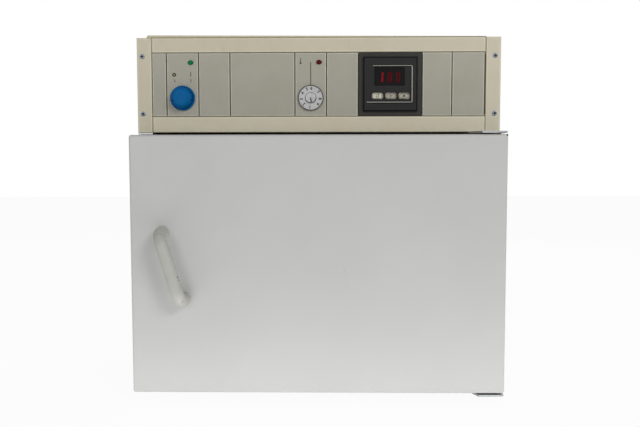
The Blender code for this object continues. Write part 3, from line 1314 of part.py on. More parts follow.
def make_button(case, name, x):
    """Make one press button and the pocket in the bezel that it slides in."""
    wide, high = BUTTON_WIDTH / 2, BUTTON_HEIGHT / 2
    z = Z_PANEL - BUTTON_DROP
    front = Y_BEZEL - BUTTON_PROUD
    back = front + BUTTON_DEPTH
    button = block(f"button_{name}", (x - wide, front, z - high), (x + wide, back, z + high),
                   "cream_plastic", BUTTON_CORNER, 4, along(1))
    crown = button.modifiers.new("crown", "BEVEL")
    crown.width = BUTTON_CROWN
    crown.segments = 1
    crown.limit_method = "ANGLE"
    crown.angle_limit = math.radians(60)
    gap = BUTTON_GAP
    pocket = block(f"pocket_{name}", (x - wide - gap, Y_BEZEL - OVERRUN, z - high - gap),
                   (x + wide + gap, back + BUTTON_TRAVEL + gap, z + high + gap), None,
                   BUTTON_CORNER + gap, 4, along(1))
    cut(case, pocket)


def build():
    """Make the whole oven."""
    clear_scene()
    make_feet()
    make_cabinet_shell()
    make_chamber_liner()
    make_cabinet_insulation()
    make_racks()
    make_shelves()
    make_floor_plate()
    make_heater()
    make_probe()
    make_limiter_bulb()
    make_vent()
    make_mains_inlet()
    make_rear_cover()
    make_door()
    make_post_spacer()
    make_posts()
    make_beams()
    make_hood()
    make_panels()
    make_lamp("mains_lamp", X_SWITCH, "green_lens")
    make_lamp("limiter_lamp", X_LIMITER, "red_lens")
    make_mains_switch()
    make_limiter()
    make_controller()


build()
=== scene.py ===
"""Looks for the bench laboratory oven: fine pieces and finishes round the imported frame, studio and camera.

Lengths in the classes are in millimetres, as on a drawing; the frame is in metres, with +Z up, and the
door faces -Y.
"""
import json
import logging
import math
from dataclasses import dataclass, field, replace
from enum import Enum
from typing import Callable, Sequence

import bmesh
import bpy
from mathutils import Matrix, Vector

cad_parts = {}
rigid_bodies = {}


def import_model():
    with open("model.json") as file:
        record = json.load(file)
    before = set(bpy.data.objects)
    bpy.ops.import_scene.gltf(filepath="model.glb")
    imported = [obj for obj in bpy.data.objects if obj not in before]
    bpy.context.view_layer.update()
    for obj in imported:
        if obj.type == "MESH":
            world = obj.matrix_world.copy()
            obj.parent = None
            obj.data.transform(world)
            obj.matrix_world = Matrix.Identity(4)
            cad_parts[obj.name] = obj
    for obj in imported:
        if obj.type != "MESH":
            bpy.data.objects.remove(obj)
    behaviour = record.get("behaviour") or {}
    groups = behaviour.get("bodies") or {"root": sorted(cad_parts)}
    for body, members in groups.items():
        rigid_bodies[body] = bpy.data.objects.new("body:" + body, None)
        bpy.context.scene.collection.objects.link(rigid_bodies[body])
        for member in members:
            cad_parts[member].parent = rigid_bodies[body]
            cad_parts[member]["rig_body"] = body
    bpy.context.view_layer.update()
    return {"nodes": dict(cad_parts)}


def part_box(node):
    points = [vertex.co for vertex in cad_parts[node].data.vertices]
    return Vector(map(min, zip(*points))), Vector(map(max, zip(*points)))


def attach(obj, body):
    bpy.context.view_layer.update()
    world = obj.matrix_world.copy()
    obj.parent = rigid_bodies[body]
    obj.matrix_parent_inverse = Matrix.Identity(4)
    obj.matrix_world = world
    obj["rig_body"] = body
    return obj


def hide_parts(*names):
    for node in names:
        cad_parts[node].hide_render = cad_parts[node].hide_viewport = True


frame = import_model()

log = logging.getLogger("oven")
MM = 0.001
Piece = bpy.types.Object
Socket = bpy.types.NodeSocket
Tree = bpy.types.NodeTree
Rings = tuple[tuple[float, float], ...]

FRONT = Vector((0.0, -1.0, 0.0))        # the way that turned pieces grow
FACING_FRONT = (math.pi / 2, 0.0, 0.0)  # turns a disc's face that way
SAME_PLACE = 0.01 * MM                  # points closer than this count as one
SQUARE_ON = 0.99                        # the least share of a normal along an axis that it faces
PRINT = 0.03                            # thickness of a printed mark, in millimetres
DIGIT_SHARE = 0.7                       # a digit's height as a share of the font's size
CREASE = 30.0                           # the angle in degrees from which most edges stay sharp
FUSED = 0.002 * MM                      # corners of a new piece that are closer than this are merged
FUSED_IN_FRAME = 0.005 * MM             # the same for a frame node's triangles
LEVEL = math.radians(0.6)               # triangles that bend less than this make one flat face


class Select(Enum):
    """What a selection in edit mode picks out."""

    FACE = "FACE"
    EDGE = "EDGE"


# ---------------------------------------------------------------- node helpers


def linear(hex_colour: str) -> tuple[float, float, float, float]:
    """Turn an sRGB hex colour to linear values.

    Args:
        hex_colour: the colour, as "#rrggbb".

    Returns:
        Red, green, blue and an alpha of one.
    """
    parts = [int(hex_colour[at:at + 2], 16) / 255 for at in (1, 3, 5)]
    curved = [c / 12.92 if c <= 0.04045 else ((c + 0.055) / 1.055) ** 2.4 for c in parts]
    return (curved[0], curved[1], curved[2], 1.0)


def add_node(tree: Tree, kind: str, settings: dict | None = None, values: dict | None = None,
             links: dict | None = None) -> bpy.types.Node:
    """Add one node with its settings, socket values and incoming links.

    Args:
        tree: the node tree it goes into.
        kind: Blender's name for the kind of node.
        settings: properties of the node itself.
        values: default values by input name or number.
        links: output sockets by input name or number.

    Returns:
        The new node.
    """
    node = tree.nodes.new(kind)
    for name, value in (settings or {}).items():
        setattr(node, name, value)
    for name, value in (values or {}).items():
        node.inputs[name].default_value = value
    for name, source in (links or {}).items():
        tree.links.new(source, node.inputs[name])
    return node


def grain(tree: Tree, size: float, detail: float = 2.0, stretch: Sequence[float] = (1, 1, 1),
          shift: float = 0.0) -> Socket:
    """Lay down noise whose patches have a real size.

    Args:
        tree: the node tree.
        size: width of one patch in millimetres.
        detail: how many finer layers it has.
        stretch: how much finer it is along each axis.
        shift: moves the pattern, so that two finishes differ.

    Returns:
        The noise value's socket, from 0 to 1.
    """
    place = add_node(tree, "ShaderNodeTexCoord").outputs["Object"]
    turned = add_node(tree, "ShaderNodeMapping", values={"Scale": stretch, "Location": (shift, shift, shift)},
                      links={"Vector": place})
    noise = add_node(tree, "ShaderNodeTexNoise", values={"Scale": 1 / (size * MM), "Detail": detail},
                     links={"Vector": turned.outputs["Vector"]})
    return noise.outputs["Fac"]


def axes(tree: Tree) -> bpy.types.Node:
    """Return a node that gives the X, Y and Z of a point on the piece, in metres."""
    return add_node(tree, "ShaderNodeSeparateXYZ",
                    links={"Vector": add_node(tree, "ShaderNodeTexCoord").outputs["Object"]})


def ramp(tree: Tree, value: Socket, stops: Sequence[tuple[float, str]]) -> Socket:
    """Turn a value to a colour by stops of (position, sRGB hex colour)."""
    node = add_node(tree, "ShaderNodeValToRGB", links={"Fac": value})
    elements = node.color_ramp.elements
    while len(elements) < len(stops):
        elements.new(0.5)
    for element, (position, colour) in zip(elements, stops):
        element.position = position
        element.color = linear(colour)
    return node.outputs["Color"]


def spread(tree: Tree, value: Socket, low: float, high: float, start: float = 0.3, end: float = 0.7) -> Socket:
    """Map a value from a start and end to a low and high number."""
    node = add_node(tree, "ShaderNodeMapRange", values={"From Min": start, "From Max": end, "To Min": low,
                                                        "To Max": high}, links={"Value": value})
    return node.outputs["Result"]


def blend_colours(tree: Tree, share: Socket, first: Socket, second: Socket | str) -> Socket:
    """Mix two colours by a share; the second may be a plain hex colour."""
    node = add_node(tree, "ShaderNodeMixRGB", links={"Fac": share, "Color1": first})
    if isinstance(second, str):
        node.inputs["Color2"].default_value = linear(second)
    else:
        tree.links.new(second, node.inputs["Color2"])
    return node.outputs["Color"]


def sums(tree: Tree, operation: str, first: Socket | float, second: Socket | float = 0.0) -> Socket:
    """Do one sum on sockets or numbers."""
    node = add_node(tree, "ShaderNodeMath", {"operation": operation})
    for at, value in enumerate((first, second)):
        if isinstance(value, (int, float)):
            node.inputs[at].default_value = value
        else:
            tree.links.new(value, node.inputs[at])
    return node.outputs["Value"]


# ------------------------------------------------------------------- finishes

# A grain's values run from 0 to 1. These are the values at which it changes the colour, the strength that it
# gets there, and how far each grain is moved, so that no two of them line up.
PATCH_STOPS = (0.35, 0.68)
SPECK_RANGE, SPECK_SHARE, SPECK_SHIFT = (0.62, 0.74), 0.5, 3.7
SOIL_RANGE, SOIL_SHARE, SOIL_SHIFT = (0.6, 0.8), 0.45, 8.2
# This grain breaks up the painted highlight along the front edges.
EDGE_HIGHLIGHT_PATCH, EDGE_HIGHLIGHT_LEAST, EDGE_HIGHLIGHT_SHIFT = 9.0, 0.55, 2.9
SCRATCH_SHARE, SCRATCH_PATCH, SCRATCH_LEAST = 0.75, 2.5, 0.2
SCRATCHED_FRONT = -200.0                # only faces in front of this depth are scratched, in millimetres
GLOSS_PATCH, GLOSS_SHIFT = 0.25, 1.3    # a patch of gloss is this share of a patch of colour
RELIEF_SHIFT = 5.1


@dataclass(frozen=True)
class Finish:
    """A surface: its colours, its gloss, and its grain at real sizes in millimetres."""

    name: str
    colour: str
    patch_colour: str
    patch_size: float = 60.0
    speck_colour: str | None = None
    speck_size: float = 1.2
    roughness: float = 0.45
    roughness_spread: float = 0.06
    metallic: float = 0.0
    specular: float = 0.5
    coat: float = 0.0
    bump_size: float = 1.5
    bump_height: float = 0.02
    stretch: tuple[float, float, float] = (1.0, 1.0, 1.0)

    def build(self) -> bpy.types.Material:
        """Return the material, made the first time it is asked for."""
        known = bpy.data.materials.get(self.name)
        if known:
            return known
        material = bpy.data.materials.new(self.name)
        material.use_nodes = True
        tree = material.node_tree
        shader = tree.nodes["Principled BSDF"]
        shader.inputs["Metallic"].default_value = self.metallic
        shader.inputs["Coat Weight"].default_value = self.coat
        if not self.metallic:
            shader.inputs["Specular IOR Level"].default_value = self.specular
        patches = grain(tree, self.patch_size, 3.0, self.stretch)
        colour = ramp(tree, patches, list(zip(PATCH_STOPS, (self.colour, self.patch_colour))))
        if self.speck_colour:
            specks = grain(tree, self.speck_size, 1.0, shift=SPECK_SHIFT)
            colour = blend_colours(tree, spread(tree, specks, 0.0, SPECK_SHARE, *SPECK_RANGE), colour,
                                   self.speck_colour)
        colour = self.details(tree, colour)
        tree.links.new(colour, shader.inputs["Base Color"])
        gloss = spread(tree, grain(tree, self.patch_size * GLOSS_PATCH, 2.0, self.stretch, GLOSS_SHIFT),
                       self.roughness - self.roughness_spread, self.roughness + self.roughness_spread)
        tree.links.new(gloss, shader.inputs["Roughness"])
        height = self.relief(tree)
        bump = add_node(tree, "ShaderNodeBump", values={"Strength": 1.0, "Distance": self.bump_height * MM},
                        links={"Height": height})
        tree.links.new(bump.outputs["Normal"], shader.inputs["Normal"])
        return material

    def details(self, tree: Tree, colour: Socket) -> Socket:
        """Add what only this kind of finish has to the colour."""
        return colour

    def relief(self, tree: Tree) -> Socket:
        """Return the height of the surface's grain."""
        return grain(tree, self.bump_size, 2.0, self.stretch, RELIEF_SHIFT)


@dataclass(frozen=True)
class Scratch:
    """A hairline scratch on an upright face, from one (x, z) point to another, in millimetres."""

    start: tuple[float, float]
    end: tuple[float, float]
    width: float
    colour: str


@dataclass(frozen=True)
class ShadeBand:
    """A range of depth, in millimetres behind a piece's front face, that is painted darker as painted shade."""

    start: float
    end: float
    colour: str


@dataclass(frozen=True)
class PowderCoat(Finish):
    """Baked powder paint on sheet steel: faint orange peel, slightly uneven tone and handling marks."""

    scratches: tuple[Scratch, ...] = ()
    front: float = 0.0
    shade_bands: tuple[ShadeBand, ...] = ()
    soil_colour: str | None = None
    soil_size: float = 14.0
    edge_highlight_colour: str | None = None

    def details(self, tree: Tree, colour: Socket) -> Socket:
        """Add the soiling, the painted highlight along the edges, the scratches and the bands of painted shade."""
        if self.soil_colour:
            soil = grain(tree, self.soil_size, 5.0, shift=SOIL_SHIFT)
            colour = blend_colours(tree, spread(tree, soil, 0.0, SOIL_SHARE, *SOIL_RANGE), colour,
                                   self.soil_colour)
        # A painted highlight along the front edges, broken up by a grain.
        if self.edge_highlight_colour:
            edge_highlight = add_node(tree, "ShaderNodeAttribute", {"attribute_name": "edge_highlight"})
            uneven = spread(tree, grain(tree, EDGE_HIGHLIGHT_PATCH, shift=EDGE_HIGHLIGHT_SHIFT), EDGE_HIGHLIGHT_LEAST, 1.0)
            colour = blend_colours(tree, sums(tree, "MULTIPLY", edge_highlight.outputs["Fac"], uneven), colour,
                                   self.edge_highlight_colour)
        for scratch in self.scratches:
            colour = blend_colours(tree, self.scratch_mask(tree, scratch), colour, scratch.colour)
        # Bands of painted shade at set depths behind the front face, on edges and on sides in the seams.
        for shade_band in self.shade_bands:
            colour = blend_colours(tree, self.shade_band_mask(tree, shade_band), colour, shade_band.colour)
        return colour

    def shade_band_mask(self, tree: Tree, shade_band: ShadeBand) -> Socket:
        """Return a mask that is one between the two depths of a band of painted shade."""
        split = axes(tree)
        deep = sums(tree, "GREATER_THAN", split.outputs["Y"], (self.front + shade_band.start) * MM)
        return sums(tree, "MULTIPLY", deep, sums(tree, "LESS_THAN", split.outputs["Y"],
                                                (self.front + shade_band.end) * MM))

    def scratch_mask(self, tree: Tree, scratch: Scratch) -> Socket:
        """Return a mask that is one on a scratch's line and falls off at its width."""
        start, end = Vector(scratch.start) * MM, Vector(scratch.end) * MM
        run = end - start
        split = axes(tree)
        x = sums(tree, "SUBTRACT", split.outputs["X"], start.x)
        z = sums(tree, "SUBTRACT", split.outputs["Z"], start.y)
        away = sums(tree, "ABSOLUTE", sums(tree, "SUBTRACT", sums(tree, "MULTIPLY", x, run.y / run.length),
                                           sums(tree, "MULTIPLY", z, run.x / run.length)))
        down = sums(tree, "ADD", sums(tree, "MULTIPLY", x, run.x / run.length ** 2),
                    sums(tree, "MULTIPLY", z, run.y / run.length ** 2))
        near = spread(tree, away, SCRATCH_SHARE, 0.0, 0.0, scratch.width * MM)
        inside = sums(tree, "MULTIPLY", sums(tree, "GREATER_THAN", down, 0.0), sums(tree, "LESS_THAN", down, 1.0))
        broken = spread(tree, grain(tree, SCRATCH_PATCH, 1.0), SCRATCH_LEAST, 1.0)
        front = sums(tree, "LESS_THAN", split.outputs["Y"], SCRATCHED_FRONT * MM)
        return sums(tree, "MULTIPLY", sums(tree, "MULTIPLY", near, inside), sums(tree, "MULTIPLY", broken, front))


@dataclass(frozen=True)
class BrushedSteel(Finish):
    """Cold-rolled stainless sheet with the long fine lines that its grinding belt left."""

    metallic: float = 1.0
    roughness: float = 0.34
    bump_size: float = 0.9
    bump_height: float = 0.006
    stretch: tuple[float, float, float] = (0.05, 0.12, 1.0)


@dataclass(frozen=True)
class PlatedSteel(Finish):
    """Zinc-plated steel: cool grey with cloudy crystals."""

    metallic: float = 1.0
    roughness: float = 0.42
    patch_size: float = 7.0
    bump_size: float = 0.7
    bump_height: float = 0.01


@dataclass(frozen=True)
class MouldedPlastic(Finish):
    """Injection-moulded plastic with a fine spark-eroded texture."""

    roughness: float = 0.5
    patch_size: float = 25.0
    bump_size: float = 0.6
    bump_height: float = 0.01


@dataclass(frozen=True)
class Spot:
    """A small mark on an upright face: its (x, z) centre and radius in millimetres."""

    centre: tuple[float, float]
    radius: float
    colour: str


@dataclass(frozen=True)
class HandlePlastic(MouldedPlastic):
    """Grey moulded plastic with its parting line and the marks of use."""

    spots: tuple[Spot, ...] = ()
    seam_depth: float = 0.0
    seam_width: float = 0.5
    seam_colour: str = "#5c5a52"
    seam_share: float = 0.7
    spot_share: float = 0.9

    def details(self, tree: Tree, colour: Socket) -> Socket:
        """Draw the parting line at its depth, and each mark."""
        split = axes(tree)
        away = sums(tree, "ABSOLUTE", sums(tree, "SUBTRACT", split.outputs["Y"], self.seam_depth * MM))
        colour = blend_colours(tree, spread(tree, away, self.seam_share, 0.0, 0.0, self.seam_width * MM), colour,
                               self.seam_colour)
        for spot in self.spots:
            x = sums(tree, "SUBTRACT", split.outputs["X"], spot.centre[0] * MM)
            z = sums(tree, "SUBTRACT", split.outputs["Z"], spot.centre[1] * MM)
            apart = sums(tree, "SQRT", sums(tree, "ADD", sums(tree, "POWER", x, 2.0), sums(tree, "POWER", z, 2.0)))
            mask = spread(tree, apart, self.spot_share, 0.0, spot.radius * MM / 2, spot.radius * MM)
            colour = blend_colours(tree, mask, colour, spot.colour)
        return colour


@dataclass(frozen=True)
class SpunMetal(Finish):
    """Turned and anodised aluminium: fine rings round the piece's centre."""

    metallic: float = 0.75
    roughness: float = 0.38
    centre: tuple[float, float, float] = (0.0, 0.0, 0.0)
    ring_size: float = 0.8
    ring_waver: float = 0.2

    def relief(self, tree: Tree) -> Socket:
        """Return the height of the turning rings."""
        place = add_node(tree, "ShaderNodeTexCoord").outputs["Object"]
        moved = add_node(tree, "ShaderNodeMapping", values={"Location": tuple(-c * MM for c in self.centre)},
                         links={"Vector": place})
        rings = add_node(tree, "ShaderNodeTexWave", {"wave_type": "RINGS", "rings_direction": "Y"},
                         {"Scale": 1 / (self.ring_size * MM) / math.tau, "Distortion": self.ring_waver},
                         {"Vector": moved.outputs["Vector"]})
        return rings.outputs["Fac"]


@dataclass(frozen=True)
class MineralWool(Finish):
    """Pressed mineral wool: matted straw-coloured fibres."""

    roughness: float = 0.95
    roughness_spread: float = 0.03
    patch_size: float = 18.0
    bump_size: float = 1.6
    bump_height: float = 0.6
    stretch: tuple[float, float, float] = (1.0, 0.25, 1.6)


@dataclass(frozen=True)
class Ink(Finish):
    """Screen-printed ink: one colour that is a little thin in places."""

    patch_size: float = 0.8
    roughness: float = 0.55
    bump_size: float = 0.3
    bump_height: float = 0.002


@dataclass(frozen=True)
class LitSegment(Ink):
    """A light-emitting segment behind a dark window, dim in a bright room."""

    glow: float = 0.0

    def build(self) -> bpy.types.Material:
        """Return the material, with its own faint light."""
        material = super().build()
        shader = material.node_tree.nodes["Principled BSDF"]
        shader.inputs["Emission Color"].default_value = linear(self.colour)
        shader.inputs["Emission Strength"].default_value = self.glow
        return material


# Baked powder paint, light grey: a satin sheet with faint orange peel, a few hairline scratches on the door.
DOOR_COAT = PowderCoat("powder_coat_light_grey", "#c6c6c5", "#c3c3c1", 160.0, "#bdbdb9", 1.0, roughness=0.42,
                       bump_height=0.012, scratches=(
                           Scratch((45.3, 246.0), (49.5, 224.0), 0.6, "#9f9f9c"),
                           Scratch((49.5, 224.0), (54.0, 209.0), 0.45, "#a9a9a6"),
                           Scratch((-243.0, 78.0), (-236.0, 80.5), 0.4, "#b9b9b5")))
# The same paint on the casing, a little duller, with the soft greyish clouds of years of wiping.
SHELL_COAT = PowderCoat("powder_coat_cabinet_grey", "#c9c9c6", "#c4c4c0", 140.0, "#bdbdb8", 1.1,
                        roughness=0.46, bump_height=0.014, soil_colour="#b8b6ac", soil_size=40.0)
# Pebble grey powder paint: warm beige grey, with a painted highlight along the edges of each front face.
FRAME_COAT = PowderCoat("powder_coat_pebble_grey", "#cec7b1", "#cbc3ab", 70.0, "#bab197", 0.9, roughness=0.5,
                        soil_colour="#bfb79f", edge_highlight_colour="#e0d9c3")
# The same paint on the top cover, a little darker and yellower.
HOOD_COAT = PowderCoat("powder_coat_pebble_grey_hood", "#cac1a5", "#c6bc9d", 60.0, "#b6ad90", 0.9,
                       roughness=0.52, soil_colour="#bdb394")
# Stone grey powder paint on the front panels: greener and darker than the frame, with a painted highlight at the
# edges.
PANEL_COAT = PowderCoat("powder_coat_stone_grey", "#aaa799", "#a6a394", 40.0, "#979487", 0.8, roughness=0.48,
                        edge_highlight_colour="#c8c5b7")
# The sheet behind the panels' seams, a dull olive brown: painted shade for the dark inside each seam.
SEAM_SHADE_COAT = PowderCoat("painted_seam_shade", "#6b6655", "#625d4d", 20.0, roughness=0.6, specular=0.2)
# Umber grey powder paint on the controller's panel: nearly black, warm, low sheen.
DARK_COAT = PowderCoat("powder_coat_umber_grey", "#373632", "#32312d", 30.0, "#42413b", 0.8, roughness=0.5,
                       specular=0.2)
# Cold-rolled stainless sheet: a soft long-grained mirror inside the chamber.
STEEL = BrushedSteel("stainless_sheet", "#c1c1be", "#b6b6b4", 2.0)
# Electropolished wire: brighter and smoother than the sheet.
WIRE_STEEL = BrushedSteel("electropolished_wire", "#cacac8", "#b9b9b8", 8.0, roughness=0.22,
                          stretch=(1.0, 1.0, 1.0))
# Zinc plate on the hinge plates and spacers: cool, cloudy, half dull.
ZINC = PlatedSteel("zinc_plated_steel", "#a2a4a4", "#939697")
# Zinc plate on the screws, slightly blue from its passivation.
SCREW_ZINC = PlatedSteel("zinc_plated_screw", "#8f959f", "#7d848f", roughness=0.5)
# Moulded ABS, charcoal black with a fine spark-eroded texture.
BLACK_PLASTIC = MouldedPlastic("moulded_abs_black", "#212121", "#1f1f1f", speck_colour="#292a2a",
                               speck_size=0.8, specular=0.18)
# Painted shade in the deepest black, on a moulded-plastic finish: the insides of grooves, gaps, notches and
# openings.
SHADE_BLACK = MouldedPlastic("painted_shade_black", "#0b0b0b", "#0d0d0d", roughness=0.6, specular=0.05)
# Moulded polyamide, strong blue, smooth, with a soft highlight on its rounded edge.
BLUE_PLASTIC = MouldedPlastic("moulded_pa_blue", "#0064a2", "#00609c", 12.0, roughness=0.3, specular=0.05,
                              bump_height=0.004)
# Moulded keypad rubber, cream and matt, and a greyer copy of it on the faces of the down and up keys.
CREAM_RUBBER = MouldedPlastic("moulded_keypad_cream", "#d6d3c8", "#ccc8bb", 6.0, roughness=0.55)
KEY_FACE = MouldedPlastic("moulded_keypad_greyer", "#aca89c", "#a39f92", 4.0, roughness=0.5)
# Moulded phenolic, cream, and the pale collars of the two lamps.
LIMITER_PLASTIC = MouldedPlastic("moulded_phenolic_cream", "#c9c4b2", "#bfb9a4")
COLLAR_PLASTIC = MouldedPlastic("moulded_collar_pale", "#b9ae9f", "#b2a797", 4.0)
# Tinted acrylic lenses: a clear green and a dark unlit red, glossy domes.
GREEN_LENS = MouldedPlastic("lens_acrylic_green", "#007a45", "#006e3e", 4.0, roughness=0.12, specular=0.08,
                            bump_height=0.001)
RED_LENS = MouldedPlastic("lens_acrylic_red", "#560a10", "#44080c", 4.0, roughness=0.12, specular=0.1,
                          bump_height=0.001)
# Smoked acrylic: almost black, glossy, the digits glow faintly through it.
WINDOW = MouldedPlastic("window_smoked_acrylic", "#120e0f", "#100c0d", 20.0, roughness=0.12, specular=0.12,
                        bump_height=0.001)
# Screen-printed inks: thin flat films that are a little uneven.
SILVER_INK = Ink("ink_silver", "#b0ada3", "#9e9b91", roughness=0.4)
WHITE_INK = Ink("ink_white", "#e6e6e4", "#dcdcda", roughness=0.4)
DARK_INK = Ink("ink_charcoal", "#3d3b33", "#4a473e", specular=0.1)
FADED_INK = Ink("ink_charcoal_faded", "#5a564a", "#666254", specular=0.1)
# Black ink, also used as painted shade in the screws' recesses and in the dial's creases and slot.
BLACK_INK_AND_SHADE = Ink("ink_black_and_painted_shade", "#202124", "#2a2b2f", specular=0.1)
YELLOW_INK = Ink("ink_yellow", "#cfae45", "#bd9d38")
BROWN_INK = Ink("ink_brown", "#7d4a3a", "#8c5a48")
# Light-emitting segments seen through the smoked window: deep reds of three strengths.
BRIGHT_DIGIT = LitSegment("led_red_bright", "#8e0d20", "#7e0a1a", glow=0.16, specular=0.05)
DIM_DIGIT = LitSegment("led_red_dim", "#5e0d16", "#540b13", glow=0.12, specular=0.05)
FAINT_DIGIT = LitSegment("led_red_faint", "#5a1216", "#521014", glow=0.08, specular=0.05)
# Black moulded rubber of the feet, dull.
RUBBER = MouldedPlastic("moulded_rubber_black", "#2b2b2d", "#242426", 12.0, roughness=0.8, bump_height=0.03,
                        specular=0.3)
# Terracotta silicone of the door seal, soft sheen.
SILICONE = MouldedPlastic("silicone_terracotta", "#8f5c4c", "#84523f", 20.0, roughness=0.65, specular=0.3)
# Pressed mineral wool: straw-coloured matted fibres.
WOOL = MineralWool("mineral_wool", "#c9b87d", "#b39f62")
# Nickel alloy tube of the heater, browned by heat.
HEATER = BrushedSteel("heater_nickel_alloy", "#6e6860", "#574f47", 12.0, roughness=0.5, stretch=(1.0, 1.0, 1.0))
# Sintered bronze bushes, dull and oily.
BRONZE = BrushedSteel("sintered_bronze", "#86704f", "#755f40", 2.0, roughness=0.45, stretch=(1.0, 1.0, 1.0))
# Black paint on the magnet's housing.
CASE_COAT = PowderCoat("magnet_housing_black", "#2a2a2b", "#232324", 10.0, roughness=0.5, specular=0.3)


# -------------------------------------------------------------- shaping pieces


def activate(piece: Piece) -> None:
    """Select one piece alone and make it active."""
    bpy.ops.object.select_all(action="DESELECT")
    piece.select_set(True)
    bpy.context.view_layer.objects.active = piece


def edit(piece: Piece) -> None:
    """Go to edit mode on one piece, with nothing selected."""
    activate(piece)
    bpy.ops.object.mode_set(mode="EDIT")
    bpy.ops.mesh.select_all(action="DESELECT")


def choose(piece: Piece, kind: Select, test: Callable[[Vector, Vector], bool]) -> None:
    """Select faces or edges in edit mode by a test of place and direction.

    Args:
        piece: the piece in edit mode.
        kind: faces or edges.
        test: is given a face's middle and normal, or an edge's two ends.
    """
    bpy.ops.mesh.select_mode(type=kind.value)
    bpy.ops.mesh.select_all(action="DESELECT")
    shape = bmesh.from_edit_mesh(piece.data)
    world = piece.matrix_world
    for item in shape.faces if kind is Select.FACE else shape.edges:
        if kind is Select.FACE:
            found = test(world @ item.calc_center_median(), item.normal)
        else:
            found = test(world @ item.verts[0].co, world @ item.verts[1].co)
        item.select_set(found)
    shape.select_flush(True)
    bmesh.update_edit_mesh(piece.data)


def choose_front(piece: Piece, front: float) -> None:
    """Select the flat faces that look to the front at one depth, in edit mode."""
    choose(piece, Select.FACE, lambda centre, normal: (
        normal.y < -SQUARE_ON and abs(centre.y - front) < SAME_PLACE))


def settle(piece: Piece, crease: float = CREASE, weighted: bool = True) -> Piece:
    """Put a piece's place in its mesh, and shade it with its creases kept."""
    if piece.mode == "EDIT":
        bpy.ops.object.mode_set(mode="OBJECT")
    activate(piece)
    bpy.ops.object.transform_apply(location=True, rotation=True, scale=True)
    bpy.ops.object.shade_smooth_by_angle(angle=math.radians(crease))
    if weighted:
        normals = piece.modifiers.new("face_weights", "WEIGHTED_NORMAL")
        normals.keep_sharp = True
        bpy.ops.object.modifier_apply(modifier=normals.name)
    return piece


def outward(piece: Piece) -> None:
    """Merge doubled corners and turn every face outwards, in edit mode."""
    bpy.ops.mesh.select_all(action="SELECT")
    bpy.ops.mesh.remove_doubles(threshold=FUSED)
    bpy.ops.mesh.normals_make_consistent(inside=False)
    bpy.ops.object.mode_set(mode="OBJECT")


def turned(name: str, centre: Vector, profile: Sequence[tuple[float, float]], sides: int = 64,
           crease: float = CREASE) -> Piece:
    """Model a turned piece that faces the front: a disc pulled forward, one ring after another.

    Args:
        name: the piece's name.
        centre: the point that heights are counted from, in metres.
        profile: rings as (radius, height) in millimetres, from the back to the tip.
        sides: corners of each ring.
        crease: the angle in degrees from which an edge stays sharp.

    Returns:
        The piece.
    """
    bpy.ops.object.select_all(action="DESELECT")
    radius, height = profile[0]
    bpy.ops.mesh.primitive_circle_add(vertices=sides, radius=radius * MM, fill_type="NGON",
                                      location=centre + FRONT * height * MM, rotation=FACING_FRONT)
    piece = bpy.context.object
    piece.name = name
    bpy.ops.object.mode_set(mode="EDIT")
    bpy.ops.mesh.select_all(action="SELECT")
    for next_radius, next_height in profile[1:]:
        bpy.ops.mesh.extrude_region_move(TRANSFORM_OT_translate={"value": FRONT * (next_height - height) * MM})
        share = next_radius / radius
        bpy.ops.transform.resize(value=(share, 1.0, share), center_override=centre + FRONT * next_height * MM)
        radius, height = next_radius, next_height
    outward(piece)
    return settle(piece, crease)


def slab(name: str, low: Vector, high: Vector, corner: float = 0.0, edge: float = 0.2, sides: int = 4) -> Piece:
    """Model a small plate that faces -Y, with rounded corners and softened front edges.

    Args:
        name: the piece's name.
        low: its lowest corner, in metres.
        high: its highest corner, in metres.
        corner: radius of its four corners in millimetres.
        edge: radius of its front edges in millimetres.
        sides: steps in each corner.

    Returns:
        The piece.
    """
    bpy.ops.object.select_all(action="DESELECT")
    bpy.ops.mesh.primitive_cube_add(size=1, location=(low + high) / 2, scale=high - low)
    piece = bpy.context.object
    piece.name = name
    bpy.ops.object.transform_apply(location=True, rotation=True, scale=True)
    edit(piece)
    if corner:
        choose(piece, Select.EDGE, lambda a, b: abs((b - a).normalized().y) > SQUARE_ON)
        bpy.ops.mesh.bevel(offset=corner * MM, segments=sides, affect="EDGES")
    if edge:
        front = low.y
        choose(piece, Select.EDGE, lambda a, b: max(abs(a.y - front), abs(b.y - front)) < SAME_PLACE)
        bpy.ops.mesh.bevel(offset=edge * MM, segments=2, affect="EDGES")
    outward(piece)
    return settle(piece)


def pipe(name: str, path: Sequence[Vector], radius: float, sides: int = 24, closed: bool = False,
         swell: Sequence[float] = (), crease: float = 40.0) -> Piece:
    """Model a round bar along a path, with filled ends.

    Args:
        name: the piece's name.
        path: the points of its middle line, in metres.
        radius: in millimetres.
        sides: corners round the bar, a multiple of four.
        closed: whether the ends meet.
        swell: the radius at each point, as a share.
        crease: the angle in degrees from which an edge stays sharp.

    Returns:
        The piece.
    """
    curve = bpy.data.curves.new(name, "CURVE")
    curve.dimensions = "3D"
    curve.bevel_depth = radius * MM
    curve.bevel_resolution = sides // 2 - 2
    curve.use_fill_caps = True
    spline = curve.splines.new("POLY")
    spline.points.add(len(path) - 1)
    for at, point in enumerate(path):
        spline.points[at].co = (*point, 1.0)
        spline.points[at].radius = swell[at] if swell else 1.0
    spline.use_cyclic_u = closed
    piece = bpy.data.objects.new(name, curve)
    bpy.context.scene.collection.objects.link(piece)
    activate(piece)
    bpy.ops.object.convert(target="MESH")
    piece = bpy.context.object
    edit(piece)
    outward(piece)
    return settle(piece, crease)


def joined(name: str, pieces: Sequence[Piece]) -> Piece:
    """Join pieces of one finish to a single piece."""
    activate(pieces[0])
    for piece in pieces[1:]:
        piece.select_set(True)
    bpy.ops.object.join()
    pieces[0].name = name
    return pieces[0]


